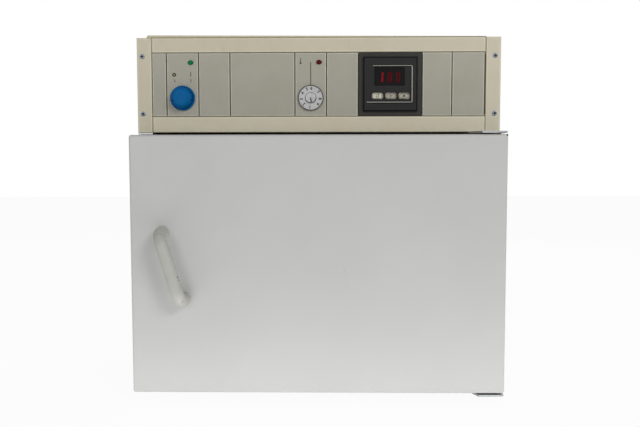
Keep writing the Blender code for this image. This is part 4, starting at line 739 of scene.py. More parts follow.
def lettering(name: str, text: str, centre: Vector, height: float, turn: float = 0.0,
              bold: float = 0.0) -> Piece:
    """Print a short number on a face that looks to -Y.

    Args:
        name: the piece's name.
        text: the number.
        centre: its middle on the face, in metres.
        height: in millimetres.
        turn: degrees clockwise, seen from the front.
        bold: how far the outline grows, and rises, in millimetres.

    Returns:
        The piece, 0.06 mm thick and twice what it grows.
    """
    bpy.ops.object.select_all(action="DESELECT")
    bpy.ops.object.text_add(location=(0, 0, 0))
    piece = bpy.context.object
    piece.name = name
    piece.data.body = text
    piece.data.size = height * MM / DIGIT_SHARE
    piece.data.extrude = PRINT * MM
    piece.data.bevel_depth = bold * MM
    piece.data.bevel_resolution = 0
    piece.data.align_x = "CENTER"
    piece.data.align_y = "CENTER"
    bpy.ops.object.convert(target="MESH")
    piece = bpy.context.object
    piece.matrix_world = (Matrix.Translation(centre) @ Matrix.Rotation(math.radians(turn), 4, "Y")
                          @ Matrix.Rotation(math.pi / 2, 4, "X"))
    return settle(piece, weighted=False)


def dress(piece: Piece, body: str, finish: Finish, slot: str, *nodes: str) -> Piece:
    """Give a piece its finish and its body, and hide the nodes that it stands for."""
    piece.data.materials.clear()
    piece.data.materials.append(finish.build())
    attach(piece, body)
    if nodes:
        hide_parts(*nodes)
    log.info("%s rides on %s", piece.name, body)
    return piece


def solid_copy(node: str) -> Piece:
    """Return a merged copy of a frame node's mesh, with its flat faces whole again."""
    piece = bpy.data.objects.new(f"fine_{node}", frame["nodes"][node].data.copy())
    bpy.context.scene.collection.objects.link(piece)
    edit(piece)
    bpy.ops.mesh.select_all(action="SELECT")
    bpy.ops.mesh.remove_doubles(threshold=FUSED_IN_FRAME)
    bpy.ops.mesh.dissolve_limited(angle_limit=LEVEL)
    bpy.ops.object.mode_set(mode="OBJECT")
    return piece


def refined(node: str, finish: Finish, slot: str, edge: float = 0.0, steps: int = 2,
            crease: float = CREASE) -> Piece:
    """Stand a softened copy of a frame node in the node's place.

    Args:
        node: the node's name.
        finish: its finish.
        slot: its material slot; it is not used.
        edge: radius given to its sharp edges, in millimetres; none if zero.
        steps: steps in each rounded edge.
        crease: the angle in degrees from which an edge counts as sharp.

    Returns:
        The piece.
    """
    piece = solid_copy(node)
    if edge:
        edit(piece)
        bpy.ops.mesh.select_mode(type="EDGE")
        bpy.ops.mesh.edges_select_sharp(sharpness=math.radians(crease))
        bpy.ops.mesh.bevel(offset=edge * MM, segments=steps, affect="EDGES", clamp_overlap=True)
        bpy.ops.object.mode_set(mode="OBJECT")
    settle(piece, crease)
    return dress(piece, frame["nodes"][node]["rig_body"], finish, slot, node)


def with_edge_highlight(node: str, finish: Finish, slot: str, width: float) -> Piece:
    """Stand a copy of a frame node in its place, with a border of painted highlight round its front face.

    Args:
        node: the node's name.
        finish: its finish, which reads the painted highlight's border from a face attribute.
        slot: its material slot; it is not used.
        width: width of the border in millimetres.

    Returns:
        The piece.
    """
    piece = solid_copy(node)
    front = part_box(node)[0].y
    edit(piece)
    choose_front(piece, front)
    bpy.ops.mesh.inset(thickness=width * MM, depth=0.0, use_boundary=True, use_select_inset=True)
    bpy.ops.object.mode_set(mode="OBJECT")
    # Faces in the border are marked for the painted highlight.
    edge_highlight = piece.data.attributes.new("edge_highlight", "FLOAT", "FACE")
    for face, value in zip(piece.data.polygons, edge_highlight.data):
        value.value = 1.0 if face.select and face.normal.y < -SQUARE_ON else 0.0
    settle(piece)
    return dress(piece, frame["nodes"][node]["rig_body"], finish, slot, node)


def minus(piece: Piece, *cutters: Piece) -> Piece:
    """Cut other pieces out of a piece; they are used up."""
    for cutter in cutters:
        cut = piece.modifiers.new("cut", "BOOLEAN")
        cut.operation = "DIFFERENCE"
        cut.solver = "EXACT"
        cut.object = cutter
        activate(piece)
        bpy.ops.object.modifier_apply(modifier=cut.name)
        bpy.data.objects.remove(cutter)
    return piece


def ring_path(centre: Vector, radius: float, height: float, steps: int = 72) -> list[Vector]:
    """Return a circle round a point, in a plane that faces -Y, at a height in front of it."""
    turns = [2 * math.pi * step / steps for step in range(steps)]
    return [centre + Vector((math.cos(t) * radius, -height, math.sin(t) * radius)) * MM for t in turns]


def middle(node: str) -> Vector:
    """Return the middle of a frame node's box."""
    low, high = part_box(node)
    return (low + high) / 2


def arc(centre: tuple[float, float], radius: float, start: float, end: float, steps: int = 10) -> list[tuple]:
    """Return points on a flat arc, with both ends; angles are in degrees."""
    turns = [math.radians(start + (end - start) * step / steps) for step in range(steps + 1)]
    return [(centre[0] + radius * math.cos(turn), centre[1] + radius * math.sin(turn)) for turn in turns]


# -------------------------------------------------------------- sub-assemblies


@dataclass
class Cabinet:
    """The casing with its feet, rear cover, vent and mains inlet."""

    sheet_edge: float = 0.25
    foot_edge: float = 0.8
    spacer_edge: float = 0.3
    roll: float = 2.4
    roll_reach: float = 9.0
    rim_band: float = 8.0

    def build(self) -> None:
        """Dress the casing's nodes."""
        refined("cabinet_shell", SHELL_COAT, "shell_paint")
        refined("rear_cover", SHELL_COAT, "shell_paint")
        refined("cabinet_insulation", WOOL, "mineral_wool")
        for row in ("front", "rear"):
            for side in ("left", "right"):
                refined(f"foot_{row}_{side}", RUBBER, "rubber", self.foot_edge, 3)
        refined("vent_tube", STEEL, "stainless")
        refined("vent_flap", STEEL, "stainless", self.sheet_edge)
        refined("mains_inlet", BLACK_PLASTIC, "black_plastic", self.sheet_edge)
        for where in ("upper", "lower"):
            self.build_hinge_plate(f"hinge_plate_{where}")
        refined("post_spacer", ZINC, "zinc_steel", self.spacer_edge)

    def build_hinge_plate(self, node: str) -> None:
        """Soften a copy of a hinge plate, with its outer front corner rolled over."""
        low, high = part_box(node)
        outer = Vector((high.x, low.y, 0))
        plate = solid_copy(node)
        edit(plate)
        level = middle(node).z
        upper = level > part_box("door_pan")[1].z
        rim = max if upper else min
        rim_end = low.y + self.rim_band * MM
        rim_level = rim(corner.co.z for corner in plate.data.vertices if corner.co.y < rim_end)
        near = self.roll_reach * MM
        choose(plate, Select.EDGE, lambda a, b: all(
            abs(end.z - rim_level) < SAME_PLACE and (Vector((end.x, end.y, 0)) - outer).length < near
            for end in (a, b)))
        bpy.ops.mesh.bevel(offset=self.roll * MM, segments=4, affect="EDGES", clamp_overlap=True)
        bpy.ops.object.mode_set(mode="OBJECT")
        settle(plate)
        dress(plate, "oven", ZINC, "zinc_steel", node)


@dataclass
class Chamber:
    """The stainless chamber and what stands in it."""

    wire_count: int = 11
    frame_radius: float = 2.5
    wire_radius: float = 1.5
    bend: float = 12.0
    rack_edge: float = 0.2
    bulb_edge: float = 0.6
    tube_crease: float = 50.0

    def build(self) -> None:
        """Dress the chamber and model its shelves."""
        refined("chamber_liner", STEEL, "stainless")
        for side in ("left", "right"):
            refined(f"shelf_rack_{side}", STEEL, "stainless", self.rack_edge, 1)
        refined("floor_plate", STEEL, "stainless")
        refined("heating_element", HEATER, "heater_steel", crease=self.tube_crease)
        refined("temperature_probe", WIRE_STEEL, "stainless")
        refined("limiter_bulb", ZINC, "zinc_steel", self.bulb_edge)
        refined("limiter_capillary", ZINC, "zinc_steel", crease=self.tube_crease)
        for where in ("lower", "upper"):
            self.build_shelf(f"wire_shelf_{where}")

    def build_shelf(self, node: str) -> None:
        """Model one wire shelf: a bent frame, a cross bar, and wires welded on top."""
        low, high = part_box(node)
        centre = (low + high) / 2
        level = low.z + self.frame_radius * MM
        x = (high.x - low.x) / 2 - self.frame_radius * MM
        y = (high.y - low.y) / 2 - self.frame_radius * MM
        bend = self.bend * MM
        outline: list[Vector] = []
        corners = ((x - bend, y - bend, 0), (bend - x, y - bend, 90), (bend - x, bend - y, 180),
                   (x - bend, bend - y, 270))
        for across, back, turn in corners:
            outline += [Vector((centre.x + a, centre.y + b, level))
                        for a, b in arc((across, back), bend, turn, turn + 90, 6)]
        parts = [pipe("shelf_frame", outline, self.frame_radius, 16, True)]
        parts.append(pipe("shelf_cross", [Vector((centre.x - x, centre.y, level)),
                                          Vector((centre.x + x, centre.y, level))], self.frame_radius, 16))
        top = high.z - self.wire_radius * MM
        for count in range(self.wire_count):
            across = centre.x + 2 * x * (count + 1) / (self.wire_count + 1) - x
            parts.append(pipe("shelf_wire", [Vector((across, centre.y - y, top)),
                                             Vector((across, centre.y + y, top))], self.wire_radius, 12))
        dress(joined(f"fine_{node}", parts), "oven", WIRE_STEEL, "stainless", node)


@dataclass
class Door:
    """The insulated door with its slanted bow handle."""

    pan_crease: float = 40.0
    gasket_edge: float = 0.4
    magnet_edge: float = 0.3
    handle_radius: float = 10.9
    handle_crease: float = 50.0
    foot_share: float = 1.0275
    elbow_share: float = 1.01
    standoff: float = 38.0
    bend: float = 23.0
    lean: float = 36.7
    drop: float = 116.9
    upper_foot: tuple[float, float] = (-270.6, 304.9)
    foot_sink: float = 0.3
    foot_rises: tuple[float, float] = (0.35, 0.7)
    bar_shares: tuple[float, ...] = (0.35, 0.5, 0.65)
    marks: tuple[Spot, ...] = (Spot((-229.5, 190.8), 1.3, "#83827b"), Spot((-236.9, 232.9), 1.4, "#2e2a24"),
                               Spot((-235.6, 227.8), 0.9, "#6d6a60"))
    relief_inset: tuple[float, float, float] = (1.9, 3.4, 1.6)
    relief_profile: Rings = ((0.8, 0.0), (1.5, 0.5), (1.85, 1.4), (1.5, 2.3), (0.8, 2.8))

    def build(self) -> None:
        """Dress the door's nodes and model the handle."""
        refined("door_pan", DOOR_COAT, "door_paint", crease=self.pan_crease)
        refined("door_inner_panel", STEEL, "stainless")
        refined("door_insulation", WOOL, "mineral_wool")
        refined("door_gasket", SILICONE, "silicone", self.gasket_edge)
        refined("door_magnet", CASE_COAT, "black_plastic", self.magnet_edge)
        for where in ("upper", "lower"):
            refined(f"hinge_bush_{where}", BRONZE, "bronze")
        self.build_handle()
        self.build_corner_relief()

    def build_corner_relief(self) -> None:
        """Model the small opening where the pan's folds meet at its upper right corner: a plug of painted shade.
        """
        low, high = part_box("door_pan")
        side, deep, down = (part * MM for part in self.relief_inset)
        place = Vector((high.x - side, low.y + deep, high.z - down))
        plug = turned("door_corner_relief_shade", place, self.relief_profile, 24, 60.0)
        # The plug is painted shade inside the corner opening.
        dress(plug, "door", SHADE_BLACK, "black_plastic")

    def build_handle(self) -> None:
        """Model the bow: a thick bar with rounded elbows and slightly flared feet."""
        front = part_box("door_pan")[0].y
        upper = Vector((self.upper_foot[0] * MM, front, self.upper_foot[1] * MM))
        run = Vector((self.lean * MM, 0, -self.drop * MM))
        length, slope = run.length, run.normalized()
        bend, out = self.bend * MM, self.standoff * MM
        straight, sink = out - bend, self.foot_sink * MM
        flat = [(0.0, sink)] + [(0.0, straight * rise) for rise in self.foot_rises]
        flat += arc((bend, straight), bend, 180, 90, 12)
        flat += [(length * share, out) for share in self.bar_shares]
        flat += arc((length - bend, straight), bend, 90, 0, 12)
        flat += [(length, straight * rise) for rise in self.foot_rises[::-1]] + [(length, sink)]
        path = [upper + slope * along - Vector((0, away, 0)) for along, away in flat]
        flare = [self.foot_share, self.foot_share, self.elbow_share]
        swell = flare + [1.0] * (len(path) - 2 * len(flare)) + flare[::-1]
        handle = pipe("door_handle_bow", path, self.handle_radius, 32, False, swell, self.handle_crease)
        plastic = HandlePlastic("moulded_abs_grey", "#b8b8b1", "#b1b1aa", 30.0, "#a8a8a1", 0.9, roughness=0.48,
                                spots=self.marks, seam_depth=(front - out) / MM)
        dress(handle, "door", plastic, "grey_plastic", "door_handle")


@dataclass
class ControlFrame:
    """The control unit's front frame, hood and screws."""

    head_profile: Rings = (
        (4.5, 0.0), (4.5, 0.7), (4.35, 1.15), (3.9, 1.55), (3.1, 1.85), (2.2, 1.98), (1.0, 2.0))
    head_height: float = 2.0
    shank_radius: float = 1.8
    tip: tuple[float, float] = (1.2, 0.6)
    border: float = 1.1
    recess_length: float = 5.6
    recess_width: float = 1.6
    recess_depth: float = 1.3
    recess_radius: float = 1.9
    cutter_rise: float = 1.0
    recess_shade_depth: float = 0.35
    recess_shade_lift: float = 0.02
    shank_seat: float = 0.2

    def build(self) -> None:
        """Dress the frame and the hood, and model the screws."""
        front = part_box("post_left")[0].y / MM
        # The frame gets painted shade on its rounded edges, from 0.75 to 1.7 mm behind the front face.
        coat = replace(FRAME_COAT, name="powder_coat_pebble_grey_edged", front=front, shade_bands=(
            ShadeBand(0.75, 1.7, "#a69c80"),))
        for side in ("left", "right"):
            with_edge_highlight(f"post_{side}", coat, "frame_paint", self.border)
        with_edge_highlight("beam_upper", coat, "frame_paint", self.border)
        # The lower beam gets a lighter copy of the frame paint: painted light that makes up for the shade under
        # the door's top.
        with_edge_highlight("beam_lower", replace(coat, name="powder_coat_pebble_grey_lightened", colour="#d5ceb8",
                                   patch_colour="#d2cab2"), "frame_paint", self.border)
        refined("control_hood", HOOD_COAT, "frame_paint")
        for side in ("left", "right"):
            for where in ("upper", "lower"):
                self.build_screw(f"post_screw_{where}_{side}")

    def cross(self, name: str, seat: Vector, low: float, high: float) -> list[Piece]:
        """Model the three bodies of a cross recess between two heights over the seat."""
        parts = [turned(f"{name}_core", seat, [(self.recess_radius, low), (self.recess_radius, high)],
                        20)]
        long, wide = self.recess_length / 2, self.recess_width / 2
        for x, z in ((long, wide), (wide, long)):
            parts.append(slab(f"{name}_arm", seat + Vector((-x, -high, -z)) * MM,
                              seat + Vector((x, -low, z)) * MM, 0.0, 0.0))
        return parts

    def build_screw(self, node: str) -> None:
        """Model a pan-head screw with a cross recess that is filled with black near its bottom as painted shade.
        """
        low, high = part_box(node)
        centre = (low + high) / 2
        seat = Vector((centre.x, low.y + self.head_height * MM, centre.z))
        depth = (high.y - seat.y) / MM
        head = turned(f"{node}_head", seat, self.head_profile, 40, 40.0)
        bottom, top = self.head_height - self.recess_depth, self.head_height - self.recess_shade_depth
        minus(head, *self.cross("recess", seat, bottom, self.head_height + self.cutter_rise))
        tip_radius, tip_length = self.tip
        wide = self.shank_radius
        shank = turned(f"{node}_shank", seat, [(wide, self.shank_seat), (wide, tip_length - depth),
                                               (tip_radius, -depth)], 20)
        dress(joined(f"fine_{node}", [settle(head), shank]), "oven", SCREW_ZINC, "zinc_steel", node)
        # The black in the recess below its rim is painted shade.
        grime = joined(f"{node}_grime", self.cross("grime", seat, bottom + self.recess_shade_lift, top))
        dress(grime, "oven", BLACK_INK_AND_SHADE, "zinc_steel")


@dataclass
class FrontPanels:
    """The nine front panels with the marks that are printed on two of them."""

    plain: tuple[str, ...] = ("panel_filler_left", "panel_blank_single", "panel_blank_double",
                              "panel_blank_middle", "panel_blank_narrow", "panel_blank_right",
                              "panel_mains_switch", "panel_limiter")
    border: float = 1.3
    strip_width: float = 6.0
    strip_sheet: float = 0.8
    strip_margin: float = 4.4
    strip_gap: float = 0.1
    strip_lift: float = 0.02
    switch_bars: tuple[tuple[float, float, float, float, float], ...] = (
        (-14.2, 31.2, 1.15, 5.6, -22.0), (14.9, 31.2, 1.15, 6.2, 0.0), (14.9, 42.8, 1.3, 7.4, 0.0))
    off_mark: tuple[float, float] = (-15.0, 42.0)
    off_ring: Rings = ((3.6, 0.0), (3.6, 0.04), (1.2, 0.05), (1.1, 0.03))
    off_core: Rings = ((1.2, 0.0), (1.2, 0.07), (0.6, 0.08))
    limiter_bars: tuple[tuple[float, float, float, float, float], ...] = (
        (0.0, 43.5, 1.6, 42.0, 0.0), (-18.2, 66.4, 1.5, 8.6, 0.0))
    bulb_mark: tuple[float, float] = (-18.2, 62.0)
    bulb: Rings = ((1.9, 0.0), (1.9, 0.04), (1.5, 0.05))

    def build(self) -> None:
        """Dress the panels, close their seams from behind with painted shade, and print the marks."""
        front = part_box("panel_limiter")[0].y / MM
        # The panels get painted shade on their sides, in the seams.
        coat = replace(PANEL_COAT, name="powder_coat_stone_grey_edged", front=front, shade_bands=(
            ShadeBand(0.3, 4.0, "#6f6b5a"),))
        for node in self.plain:
            with_edge_highlight(node, coat, "panel_paint", self.border)
        # The controller's panel gets painted shade on its sides, in the seams.
        refined("panel_controller", replace(DARK_COAT, name="powder_coat_umber_grey_edged", front=front, shade_bands=(
            ShadeBand(0.72, 4.0, "#191814"),)), "dark_panel")
        self.build_seam_strips()
        self.print_switch_marks()
        self.print_limiter_marks()

    def build_seam_strips(self) -> None:
        """Model the strips of dark sheet that close each seam behind the panels, as painted shade in the seams."""
        boxes = sorted((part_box(node) for node in (*self.plain, "panel_controller")), key=lambda box: box[0].x)
        back, low, high = boxes[0][1].y, boxes[0][0].z, boxes[0][1].z
        margin = self.strip_margin * MM
        half = self.strip_width / 2 * MM
        spans = [(left[1].x - half, right[0].x + half) for left, right in zip(boxes, boxes[1:])]
        spans.append((boxes[-1][1].x - half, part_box("post_right")[0].x - self.strip_gap * MM))
        spans.append((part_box("post_left")[1].x + self.strip_gap * MM, boxes[0][0].x + half))
        strips = [slab("seam_strip", Vector((start, back + self.strip_lift * MM, low + margin)),
                       Vector((end, back + self.strip_sheet * MM, high - margin)), 0.0, 0.0)
                  for start, end in spans]
        # The strips' dark colour is painted shade inside the seams.
        dress(joined("panel_seam_shade_strips", strips), "oven", SEAM_SHADE_COAT, "panel_paint")

    def bars(self, control: Vector, marks: Sequence[tuple[float, float, float, float, float]]) -> list[Piece]:
        """Print bars over a control.

        Args:
            control: the middle of the control that they belong to.
            marks: each bar's place right of and over the control, its width and height, all in millimetres,
                and its lean in degrees.

        Returns:
            The bars.
        """
        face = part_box("panel_limiter")[0].y
        pieces = []
        for across, up, wide, high, lean in marks:
            half = Vector((wide / 2 * MM, PRINT * MM, high / 2 * MM))
            piece = slab("printed_bar", -half, half, 0.0, 0.0)
            piece.matrix_world = (Matrix.Translation(self.over(control, (across, up), face))
                                  @ Matrix.Rotation(math.radians(lean), 4, "Y"))
            pieces.append(settle(piece, weighted=False))
        return pieces

    def over(self, control: Vector, place: tuple[float, float], face: float) -> Vector:
        """Return the point on the panels' face that is so far right of and over a control."""
        return Vector(((control.x / MM + place[0]) * MM, face, (control.z / MM + place[1]) * MM))

    def print_switch_marks(self) -> None:
        """Print the off ring, the on bar and the two ticks over the switch."""
        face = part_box("panel_mains_switch")[0].y
        knob = middle("mains_switch_knob")
        dress(joined("switch_ticks", self.bars(knob, self.switch_bars)), "oven", DARK_INK, "black_plastic")
        place = self.over(knob, self.off_mark, face)
        dress(turned("switch_off_ring", place, self.off_ring, 32), "oven", DARK_INK, "black_plastic")
        dress(turned("switch_off_core", place, self.off_core, 32), "oven", YELLOW_INK, "cream_plastic")

    def print_limiter_marks(self) -> None:
        """Print the index line over the dial and the small thermometer beside it."""
        dial = middle("limiter_dial")
        place = self.over(dial, self.bulb_mark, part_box("panel_limiter")[0].y)
        bulb = turned("thermometer_bulb", place, self.bulb, 24)
        line, stem = self.bars(dial, self.limiter_bars)
        dress(joined("limiter_marks", [line, bulb, stem]), "oven", FADED_INK, "black_plastic")


@dataclass
class SwitchAndLimiter:
    """The blue mains knob, the numbered limiter dial and the two lamps."""

    knob_profile: Rings = (
        (21.6, 0.0), (22.2, 0.3), (22.4, 0.9), (22.4, 3.1), (22.15, 3.7), (21.6, 4.0), (20.5, 4.0),
        (19.9, 3.7), (19.6, 3.1), (19.5, 2.3), (18.7, 2.3), (18.6, 3.0), (18.4, 13.2), (18.1, 14.6),
        (17.4, 16.0), (16.4, 17.4), (15.2, 18.5), (13.9, 19.2), (12.6, 19.45), (8.0, 19.35), (3.0, 19.3))
    dial_profile: Rings = (
        (22.6, 0.0), (22.9, 0.3), (22.9, 2.7), (22.7, 2.95), (22.3, 3.0), (22.1, 2.8), (22.0, 2.3),
        (9.4, 2.3), (9.2, 2.5), (9.2, 5.9), (9.0, 6.5), (8.5, 6.9), (7.6, 7.0), (4.0, 7.0))
    notches: tuple[tuple[float, float, float], ...] = ((-14.3, -5.6, 19.35), (18.0, -4.0, 15.2))
    lamp_profile: Rings = (
        (5.3, 0.3), (5.25, 0.7), (5.0, 1.15), (4.4, 1.6), (3.5, 1.95), (2.3, 2.2), (0.9, 2.3))
    shaft_profile: Rings = ((3.0, 0.2), (3.0, -17.2), (2.6, -17.6))
    stem_profile: Rings = ((3.6, 0.1), (3.6, -13.6), (3.2, -14.0))
    collar_profile: Rings = ((5.7, 0.0), (5.7, 0.3), (5.5, 0.45), (4.6, 0.45))
    notch_profile: Rings = ((0.6, -2.0), (1.2, -1.7), (1.2, -0.2), (0.8, 0.0))
    seat_gap: float = 0.8
    turned_crease: float = 35.0
    lamp_gap: float = 0.3
    lamp_share: float = 0.83
    lamp_crease: float = 50.0
    slot_tilt: float = -7.0
    slot_low: tuple[float, float, float] = (-1.0, -9.0, -12.0)
    slot_high: tuple[float, float, float] = (1.0, -4.8, 12.0)
    shade_low: tuple[float, float, float] = (-0.95, -6.3, -8.4)
    shade_high: tuple[float, float, float] = (0.95, -4.9, -0.4)
    index_low: tuple[float, float, float] = (-0.7, -6.7, 0.4)
    index_high: tuple[float, float, float] = (0.7, -4.9, 8.4)
    disc_height: float = 2.3
    number_radius: float = 16.7
    number_height: float = 5.2
    number_bold: float = 0.22
    tick_count: int = 60
    long_every: int = 5
    tick_width: float = 0.28
    tick_edge: float = 21.6
    tick_lengths: tuple[float, float] = (1.6, 2.4)
    # Rings of painted shade in the dial's two creases: radius and height.
    crease_shades: tuple[tuple[float, float], ...] = ((22.2, 2.7), (9.35, 2.6))
    crease_shade_radius: float = 0.62
    number_places: tuple[tuple[str, float], ...] = (
        ("1", 185.0), ("2", 227.0), ("3", 262.0), ("4", 300.0), ("5", 337.0), ("6", 4.0), ("7", 52.0),
        ("8", 96.0), ("9", 131.0))

    def build(self) -> None:
        """Model the knob, the dial and the lamps, and dress what is behind them."""
        self.build_knob()
        self.build_dial()
        for node, lens, slot in (("mains_lamp", GREEN_LENS, "green_lens"), ("limiter_lamp", RED_LENS, "red_lens")):
            self.build_lamp(node, lens, slot)
        refined("mains_switch_body", BLACK_PLASTIC, "black_plastic")
        refined("limiter_body", LIMITER_PLASTIC, "cream_plastic")

    def seat(self, node: str) -> Vector:
        """Return the point on a turned node's axis where its front part meets the panel's gap."""
        centre = middle(node)
        return Vector((centre.x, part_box("panel_limiter")[0].y - self.seat_gap * MM, centre.z))

    def build_knob(self) -> None:
        """Model the knob with its flange, groove and shaft, and black plugs of painted shade in its two small
        notches.
        """
        seat = self.seat("mains_switch_knob")
        cap = turned("knob_cap", seat, self.knob_profile, 96, self.turned_crease)
        shaft = turned("knob_shaft", seat, self.shaft_profile, 32)
        knob = joined("mains_knob_turned", [cap, shaft])
        dress(knob, "mains_knob", BLUE_PLASTIC, "blue_plastic", "mains_switch_knob")
        # The black plugs in the two notches are painted shade.
        notches = [
            turned("knob_notch", seat + Vector((x, 0, z)) * MM,
                   [(radius, top + rise) for radius, rise in self.notch_profile], 20)
            for x, z, top in self.notches]
        dress(joined("knob_notch_shades", notches), "mains_knob", SHADE_BLACK, "blue_plastic")

    def build_dial(self) -> None:
        """Model the dial disc, cut its hub's slot, print numbers and fine marks, paint shade in creases and slot.
        """
        seat = self.seat("limiter_dial")
        disc = turned("dial_disc", seat, self.dial_profile, 96, self.turned_crease)
        shaft = turned("dial_shaft", seat, self.shaft_profile, 32)
        slot = slab("dial_slot", Vector(self.slot_low) * MM, Vector(self.slot_high) * MM, 0.0, 0.0)
        tilt = Matrix.Translation(seat) @ Matrix.Rotation(math.radians(self.slot_tilt), 4, "Y")
        slot.matrix_world = tilt
        settle(slot, weighted=False)
        settle(minus(disc, slot))
        metal = SpunMetal("turned_aluminium", "#a3a4a3", "#9b9c9b", 6.0, "#8a8b8a", 0.7,
                          centre=(seat.x / MM, seat.y / MM, seat.z / MM))
        dress(joined("limiter_dial_turned", [disc, shaft]), "limiter_dial", metal, "dial_metal", "limiter_dial")
        face = seat + FRONT * self.disc_height * MM
        prints = []
        for text, turn in self.number_places:
            angle = math.radians(turn)
            place = face + Vector((math.sin(angle), 0, math.cos(angle))) * self.number_radius * MM
            prints.append(lettering("dial_number", text, place, self.number_height, turn, self.number_bold))
        short, long = self.tick_lengths
        for count in range(self.tick_count):
            angle = math.radians(360 / self.tick_count * count)
            far = short if count % self.long_every else long
            ray = Vector((math.sin(angle), 0, math.cos(angle)))
            half = Vector((self.tick_width / 2, PRINT, far / 2)) * MM
            tick = slab("dial_tick", -half, half, 0.0, 0.0)
            tick.matrix_world = (Matrix.Translation(face + ray * (self.tick_edge - far / 2) * MM)
                                 @ Matrix.Rotation(angle, 4, "Y"))
            prints.append(settle(tick, weighted=False))
        # The dark rings in the dial's two creases are painted shade.
        for radius, height in self.crease_shades:
            prints.append(pipe("dial_crease_shade", ring_path(seat, radius, height), self.crease_shade_radius, 8, True))
        # The black in the slot's lower half is painted shade.
        lower = slab("slot_shade", Vector(self.shade_low) * MM, Vector(self.shade_high) * MM, 0.0, 0.0)
        lower.matrix_world = tilt
        prints.append(settle(lower, weighted=False))
        dress(joined("dial_prints_and_shade", prints), "limiter_dial", BLACK_INK_AND_SHADE, "black_plastic")
        upper = slab("slot_index", Vector(self.index_low) * MM, Vector(self.index_high) * MM, 0.0, 0.0)
        upper.matrix_world = tilt
        dress(settle(upper, weighted=False), "limiter_dial", WHITE_INK, "cream_plastic")

    def build_lamp(self, node: str, lens: Finish, slot: str) -> None:
        """Model a lamp: a domed lens and its stem through the panel."""
        centre = middle(node)
        seat = Vector((centre.x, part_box("panel_limiter")[0].y - self.lamp_gap * MM, centre.z))
        dome = turned("lens", seat, self.lamp_profile, 40, self.lamp_crease)
        dome.matrix_world = (Matrix.Translation(seat) @ Matrix.Diagonal((1, 1, self.lamp_share, 1))
                             @ Matrix.Translation(-seat))
        settle(dome, self.lamp_crease)
        stem = turned("stem", seat, self.stem_profile, 32)
        dress(joined(f"{node}_lens", [dome, stem]), "oven", lens, slot, node)
        collar = turned(f"{node}_collar", seat, self.collar_profile, 40)
        dress(collar, "oven", COLLAR_PLASTIC, "cream_plastic")


